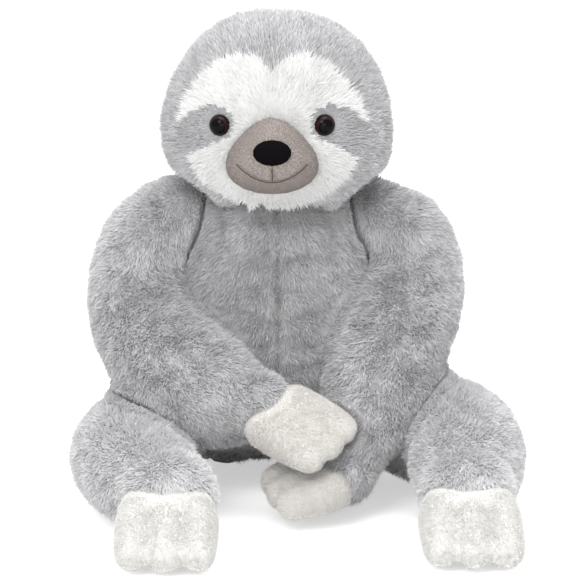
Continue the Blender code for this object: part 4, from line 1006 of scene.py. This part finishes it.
# %% [markdown]
# ## Growing the pile
# The toy is cut from several cloths: long grey fur, white fur for the face, a shorter grey for the
# patches round the eyes, and a short white velvet for paws and feet. Each CAD panel gets its own pile
# piece, so that it can be found by name. A strand belongs to the panel under its foot. On the head it
# belongs to the panel under its tip, so that the white face keeps a soft but clear edge.

# %% Which panel each face belongs to
TIP_REACH = 0.0075


def mark_regions(key, panels, reach=0.0):
    """Stores on each face of a form which CAD panel lies under the tips of its strands."""
    obj = forms[key]
    trees = [tree_of([NODES[panel].data]) for panel in panels]
    nearest = []
    for face in obj.data.polygons:
        lean = naps[key][face.vertices[0]]
        normal = np.array(face.normal)
        tip = face.center + Vector(lean - normal * float(lean @ normal)) * reach
        gaps = [tree.find_nearest(tip)[3] for tree in trees]
        nearest.append(gaps.index(min(gaps)))
    stored = obj.data.attributes.new("region", "INT", "FACE")
    stored.data.foreach_set("value", nearest)
    return nearest


# %% The pile of the torso and the limbs
STRANDS_PER_M2 = 305000
PAW_STRANDS_PER_M2 = 560000
FUR_WIDTH = 0.00104
VELVET_WIDTH = 0.00078
FUR_MESS = 0.38
VELVET_MESS = 0.5
FIRST_SEED = 10
SEED_STEP = 7
FUR_LOOK = (STRANDS_PER_M2, FUR_LENGTH, FUR_WIDTH, FUR_MESS)
VELVET_LOOK = (PAW_STRANDS_PER_M2, VELVET_LENGTH, VELVET_WIDTH, VELVET_MESS)
piles = []


def grow_panels(key, panels, look, material):
    """A pile piece for each panel of a form."""
    mark_regions(key, panels)
    for index, panel in enumerate(panels):
        seed = FIRST_SEED + SEED_STEP * len(piles)
        made = grow_pile(f"{panel}_pile", forms[key], index, *look, material, seed)
        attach(made, RIDES[key])
        piles.append(made)


grow_panels("torso", TORSO_PANELS, FUR_LOOK, GREY_PILE)
for side in SIDES:
    for limb, look, material, slot in (
        ("arm", FUR_LOOK, GREY_PILE, "grey_fur"),
        ("leg", FUR_LOOK, LIT_LEG_PILE, "grey_fur"),
        ("paw", VELVET_LOOK, SHADED_PAW_PILE, "white_velvet"),
        ("foot", VELVET_LOOK, VELVET_PILE, "white_velvet"),
    ):
        panels = [f"{side}_{limb}_{part}" for part in LIMB_PANELS[limb]]
        grow_panels(f"{side}_{limb}", panels, look, material)
print("pile pieces", len(piles))

# %% The pile of the head
FACE_LENGTH = 0.0125
PATCH_LENGTH = 0.0095
HEAD_SEED = 300
HEAD_LOOKS = {
    "right_head_panel": (FUR_LENGTH, GREY_PILE, "grey_fur"),
    "left_head_panel": (FUR_LENGTH, GREY_PILE, "grey_fur"),
    "face_panel": (FACE_LENGTH, WHITE_PILE, "white_fur"),
    "right_eye_patch": (PATCH_LENGTH, PATCH_PILE, "grey_fur"),
    "left_eye_patch": (PATCH_LENGTH, PATCH_PILE, "grey_fur"),
}
head_regions = mark_regions("head", HEAD_PANELS, TIP_REACH)
for index, panel in enumerate(HEAD_PANELS):
    length, material, slot = HEAD_LOOKS[panel]
    look = (STRANDS_PER_M2, length, FUR_WIDTH, FUR_MESS)
    made = grow_pile(f"{panel}_pile", forms["head"], index, *look, material, HEAD_SEED + index)
    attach(made, "head")
    piles.append(made)
FACE_REGION = HEAD_PANELS.index("face_panel")
head_mesh.materials.append(WHITE_BACKING)
head_mesh.polygons.foreach_set("material_index", [int(region == FACE_REGION) for region in head_regions])
print("faces of the head with a white backing", head_regions.count(FACE_REGION))

# %% [markdown]
# ## Muzzle
# The muzzle is a close taupe velvet with a darker line where it is sewn to the face. A line in the
# cloth's colour alone would lie flat under the pile, so the skin's faces close to the face panel are
# made a region of their own, with a darker pile and a darker backing.

# %% Muzzle
EDGE_RANGE = 0.0024
MUZZLE_STRANDS_PER_M2 = 600000
MUZZLE_WIDTH = 0.00055
MUZZLE_MESS = 0.35
MUZZLE_SEED = 400
MUZZLE_LOOK = (MUZZLE_STRANDS_PER_M2, MUZZLE_LENGTH, MUZZLE_WIDTH, MUZZLE_MESS)
MUZZLE_PILES = (("muzzle_panel_pile", TAUPE_PILE), ("muzzle_edge_pile", EDGE_PILE))
face_tree = tree_of([NODES["face_panel"].data])
muzzle = forms["muzzle"]
muzzle_regions = [int(face_tree.find_nearest(face.center)[3] < EDGE_RANGE) for face in muzzle.data.polygons]
muzzle.data.attributes.new("region", "INT", "FACE").data.foreach_set("value", muzzle_regions)
muzzle.data.materials.append(EDGE_BACKING)
muzzle.data.polygons.foreach_set("material_index", muzzle_regions)
for index, (name, material) in enumerate(MUZZLE_PILES):
    made = grow_pile(name, muzzle, index, *MUZZLE_LOOK, material, MUZZLE_SEED + index)
    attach(made, "head")
    piles.append(made)
print("pile triangles", sum(len(pile.data.polygons) for pile in piles))

# %% [markdown]
# ## The forms on their bodies
# Under the pile lies the stuffed cloth itself. Each form rides on its own body and stands for its CAD
# nodes. Its filling gives way where it is pressed.

# %% The forms ride on their bodies
for key, form in forms.items():
    drop_attributes(form.data, DRESS)
    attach(form, RIDES[key])
print("padded cushions", len(forms))

# %% [markdown]
# ## Loose fillings
# The neck and the shoulders turn on balls of filling inside the cloth. They are hidden at rest and
# show in a gap at most, so a round, smoothed skin is enough and no fibres are grown.

# %% Loose fillings
FILL_VOXEL = 0.0060
FILL_SINK = FILL_VOXEL / 4
FILL_SMOOTHING = 2

for node_name, body in (
    ("neck_stuffing", "neck"),
    ("right_shoulder_stuffing", "right_shoulder_ball"),
    ("left_shoulder_stuffing", "left_arm"),
):
    filling = node_name.replace("stuffing", "filling")
    made = soft_form(filling, (node_name,), FILL_VOXEL, FILL_SINK, FILL_SMOOTHING, FIBRE)
    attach(made, body)
    print(filling, len(made.data.polygons), "faces")

# %% [markdown]
# ## Nose
# A flocked oval sewn on the muzzle, softly domed. Flock is too short to show as strands at this size,
# so it is a smooth skin with a dull, nearly black material.

# %% Nose
SMALL_VOXEL = 0.0011
NOSE_SINK = 0.0
NOSE_SMOOTHING = 10
nose = soft_form("nose_pad", ("nose",), SMALL_VOXEL, NOSE_SINK, NOSE_SMOOTHING, NOSE_FLOCK)
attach(nose, "head")
print("nose", len(nose.data.polygons), "faces")

# %% [markdown]
# ## Eyes
# Moulded safety eyes: a glossy dome with a brown ring round a black pupil. A sphere would bulge too
# far, so the dome is a quarter of an ellipse spun round the eye's own axis. The axis, the radius and
# the height are read from the CAD eye, so the dome sits where the solid does.

# %% Reading a CAD eye
RIM_SHARE = 0.9


def eye_axis(name):
    """The eye's seat, its outward direction, its radius and the height of its dome."""
    points = np.array([vert.co for vert in NODES[name].data.vertices])
    middle = points.mean(0)
    foot = points[np.argmax(np.linalg.norm(points - middle, axis=1))]
    top = points[np.argmax(np.linalg.norm(points - foot, axis=1))]
    axis = (top - foot) / np.linalg.norm(top - foot)
    heights = (points - foot) @ axis
    radii = np.linalg.norm(points - foot - heights[:, None] * axis, axis=1)
    seat = heights[radii > RIM_SHARE * radii.max()].min()
    return Vector(foot + axis * seat), Vector(axis), float(radii.max()), float(heights.max() - seat)


# %% Eyes
EYE_STEPS = 14
EYE_SEGMENTS = 48
EYE_WELD = WELD / 10
PUPIL_SHARE = 0.68
IRIS_SHARE = 0.93


def dome(radius, bulge):
    """A closed dome on its seat, from a quarter ellipse spun round."""
    shape = bmesh.new()
    last = None
    for step in range(EYE_STEPS + 1):
        angle = math.pi / 2 * step / EYE_STEPS
        vert = shape.verts.new((radius * math.cos(angle), 0, bulge * math.sin(angle)))
        if last:
            shape.edges.new((last, vert))
        last = vert
    foot = shape.verts.new((0, 0, 0))
    shape.verts.ensure_lookup_table()
    shape.edges.new((foot, shape.verts[0]))
    bmesh.ops.spin(
        shape,
        geom=list(shape.verts) + list(shape.edges),
        cent=(0, 0, 0),
        axis=UP,
        angle=math.tau,
        steps=EYE_SEGMENTS,
        use_merge=True,
    )
    bmesh.ops.remove_doubles(shape, verts=shape.verts, dist=EYE_WELD)
    bmesh.ops.recalc_face_normals(shape, faces=shape.faces)
    return shape


for name in ("right_eye", "left_eye"):
    seat, axis, radius, bulge = eye_axis(name)
    shape = dome(radius, bulge)
    for face in shape.faces:
        middle = face.calc_center_median()
        share = math.hypot(middle.x, middle.y) / radius
        face.material_index = 0 if share < PUPIL_SHARE else 1 if share < IRIS_SHARE else 2
        face.smooth = True
    place = Matrix.Translation(seat) @ axis.to_track_quat("Z", "Y").to_matrix().to_4x4()
    bmesh.ops.transform(shape, matrix=place, verts=shape.verts)
    mesh = bpy.data.meshes.new(f"{name}_dome")
    shape.to_mesh(mesh)
    shape.free()
    for material in (PUPIL, IRIS, EYE_RIM):
        mesh.materials.append(material)
    eye = linked(f"{name}_dome", mesh)
    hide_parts(name)
    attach(eye, "head")
    print(name, [round(x, 3) for x in seat], round(radius, 4), round(bulge, 4))
    NODES[f"{name}_washer"].data.materials.clear()
    NODES[f"{name}_washer"].data.materials.append(WASHER)

# %% [markdown]
# ## Mouth
# The smile and the line under the nose are embroidered: short stitches laid end over end. A plain
# bent tube would read as a cord, so each stitch is a small long sphere, slanted one way and then the
# other, along the middle of the CAD thread.

# %% Mouth
STITCH_LENGTH = 0.0042
STITCH_RADIUS = 0.0009
STITCH_STEP = 0.0026
STITCH_SLANT = math.radians(9)
STITCH_SEGMENTS = 8
STITCH_RINGS = 6


def thread_line(name, axis):
    """Centres of a CAD thread's rings, in order along an axis."""
    points = np.array([vert.co for vert in NODES[name].data.vertices])
    points = points[np.argsort(points[:, axis])]
    breaks = np.where(np.diff(points[:, axis]) > 2 * STITCH_RADIUS)[0] + 1
    return [Vector(group.mean(0)) for group in np.split(points, breaks)]


def stitched(name, axis):
    """Stitches along a CAD thread, in its place."""
    line = thread_line(name, axis)
    size = Matrix.Diagonal((STITCH_LENGTH / 2, STITCH_RADIUS, STITCH_RADIUS, 1))
    shape = bmesh.new()
    laid = 0
    for start, end in zip(line, line[1:]):
        steps = max(1, round((end - start).length / STITCH_STEP))
        for step in range(steps):
            place = Matrix.Translation(start.lerp(end, (step + 0.5) / steps))
            turn = (end - start).to_track_quat("X", "Y").to_matrix().to_4x4()
            turn = turn @ Matrix.Rotation(STITCH_SLANT * (-1) ** laid, 4, "Z")
            bmesh.ops.create_uvsphere(
                shape,
                u_segments=STITCH_SEGMENTS,
                v_segments=STITCH_RINGS,
                radius=1,
                matrix=place @ turn @ size,
            )
            laid += 1
    for face in shape.faces:
        face.smooth = True
    mesh = bpy.data.meshes.new(name + "es")
    shape.to_mesh(mesh)
    shape.free()
    mesh.materials.append(THREAD)
    made = linked(name + "es", mesh)
    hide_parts(name)
    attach(made, "head")
    print(name, laid, "stitches")


stitched("mouth_stitch", 0)
stitched("lip_stitch", 2)

# %% [markdown]
# ## Studio
# A plain white floor and soft light, as a catalogue picture has, and the camera that took the
# photograph: long, a little above the toy and tipped down. Large area lamps give soft shadows. The
# white ground is not made by more light, which would wash out the fur: the floor and the world only
# look whiter to the camera than they are to the toy.

# %% The camera
CAMERA_PLACE = (0.0, -3.1, 0.854)
CAMERA_PITCH = math.radians(10.5)
CAMERA_LENS = 130.34
PICTURE_WIDTH_PX = 580
CAMERA_SHIFT = 12 / PICTURE_WIDTH_PX

camera_data = bpy.data.cameras.new("camera")
camera_data.lens = CAMERA_LENS
camera_data.shift_x = CAMERA_SHIFT
camera = linked("camera", camera_data)
camera.location = CAMERA_PLACE
camera.rotation_euler = (math.pi / 2 - CAMERA_PITCH, 0, 0)
bpy.context.scene.camera = camera
print("camera lens", CAMERA_LENS)

# %% The lamps
# Each lamp is its place, its size and its power
LAMPS = {
    "key": (Vector((-0.9, -3.0, 2.3)), 1.4, 45.0),
    "top": (Vector((0.3, -0.9, 3.6)), 2.4, 70.0),
    "fill": (Vector((0.2, -3.4, 0.35)), 2.0, 30.0),
    "back": (Vector((-0.4, 3.2, 2.4)), 2.4, 35.0),
}
AIM = Vector((0, -0.1, 0.35))

for name, (place, size, power) in LAMPS.items():
    lamp_data = bpy.data.lights.new(name, "AREA")
    lamp_data.size = size
    lamp_data.energy = power
    lamp = linked(name, lamp_data)
    lamp.location = place
    lamp.rotation_euler = (AIM - place).to_track_quat("-Z", "Y").to_euler()
print("lamps", len(LAMPS))

# %% The floor
FLOOR_SIZE = 60.0
FLOOR_GLOW = 0.52

floor_shape = bmesh.new()
bmesh.ops.create_grid(floor_shape, x_segments=1, y_segments=1, size=FLOOR_SIZE / 2)
floor_mesh = bpy.data.meshes.new("floor")
floor_shape.to_mesh(floor_mesh)
floor_shape.free()
floor_material = principled("floor", (0.95, 0.95, 0.95), 0.9, specular=0.0)
floor_tree = floor_material.node_tree
floor_shader = floor_tree.nodes["Principled BSDF"]
floor_shader.inputs["Emission Color"].default_value = (1, 1, 1, 1)
floor_ray = floor_tree.nodes.new("ShaderNodeLightPath")
glow = floor_tree.nodes.new("ShaderNodeMapRange")
glow.inputs["To Min"].default_value = 0.0
glow.inputs["To Max"].default_value = FLOOR_GLOW
floor_tree.links.new(floor_ray.outputs["Is Camera Ray"], glow.inputs["Value"])
floor_tree.links.new(glow.outputs["Result"], floor_shader.inputs["Emission Strength"])
floor_mesh.materials.append(floor_material)
linked("floor", floor_mesh)
print("floor", FLOOR_SIZE, "m wide")

# %% The world
WORLD_STRENGTH = 0.80

world = bpy.data.worlds.new("studio")
world.use_nodes = True
backdrop = world.node_tree.nodes["Background"]
backdrop.inputs["Color"].default_value = (1, 1, 1, 1)
ray = world.node_tree.nodes.new("ShaderNodeLightPath")
seen = ray.outputs["Is Camera Ray"]
for kind in ("Is Glossy Ray", "Is Transmission Ray"):
    either = world.node_tree.nodes.new("ShaderNodeMath")
    either.operation = "MAXIMUM"
    world.node_tree.links.new(seen, either.inputs[0])
    world.node_tree.links.new(ray.outputs[kind], either.inputs[1])
    seen = either.outputs[0]
strength = world.node_tree.nodes.new("ShaderNodeMapRange")
strength.inputs["To Min"].default_value = WORLD_STRENGTH
strength.inputs["To Max"].default_value = 1.0
world.node_tree.links.new(seen, strength.inputs["Value"])
world.node_tree.links.new(strength.outputs["Result"], backdrop.inputs["Strength"])
bpy.context.scene.world = world
bpy.context.scene.view_settings.view_transform = "Standard"
print("world strength", WORLD_STRENGTH)
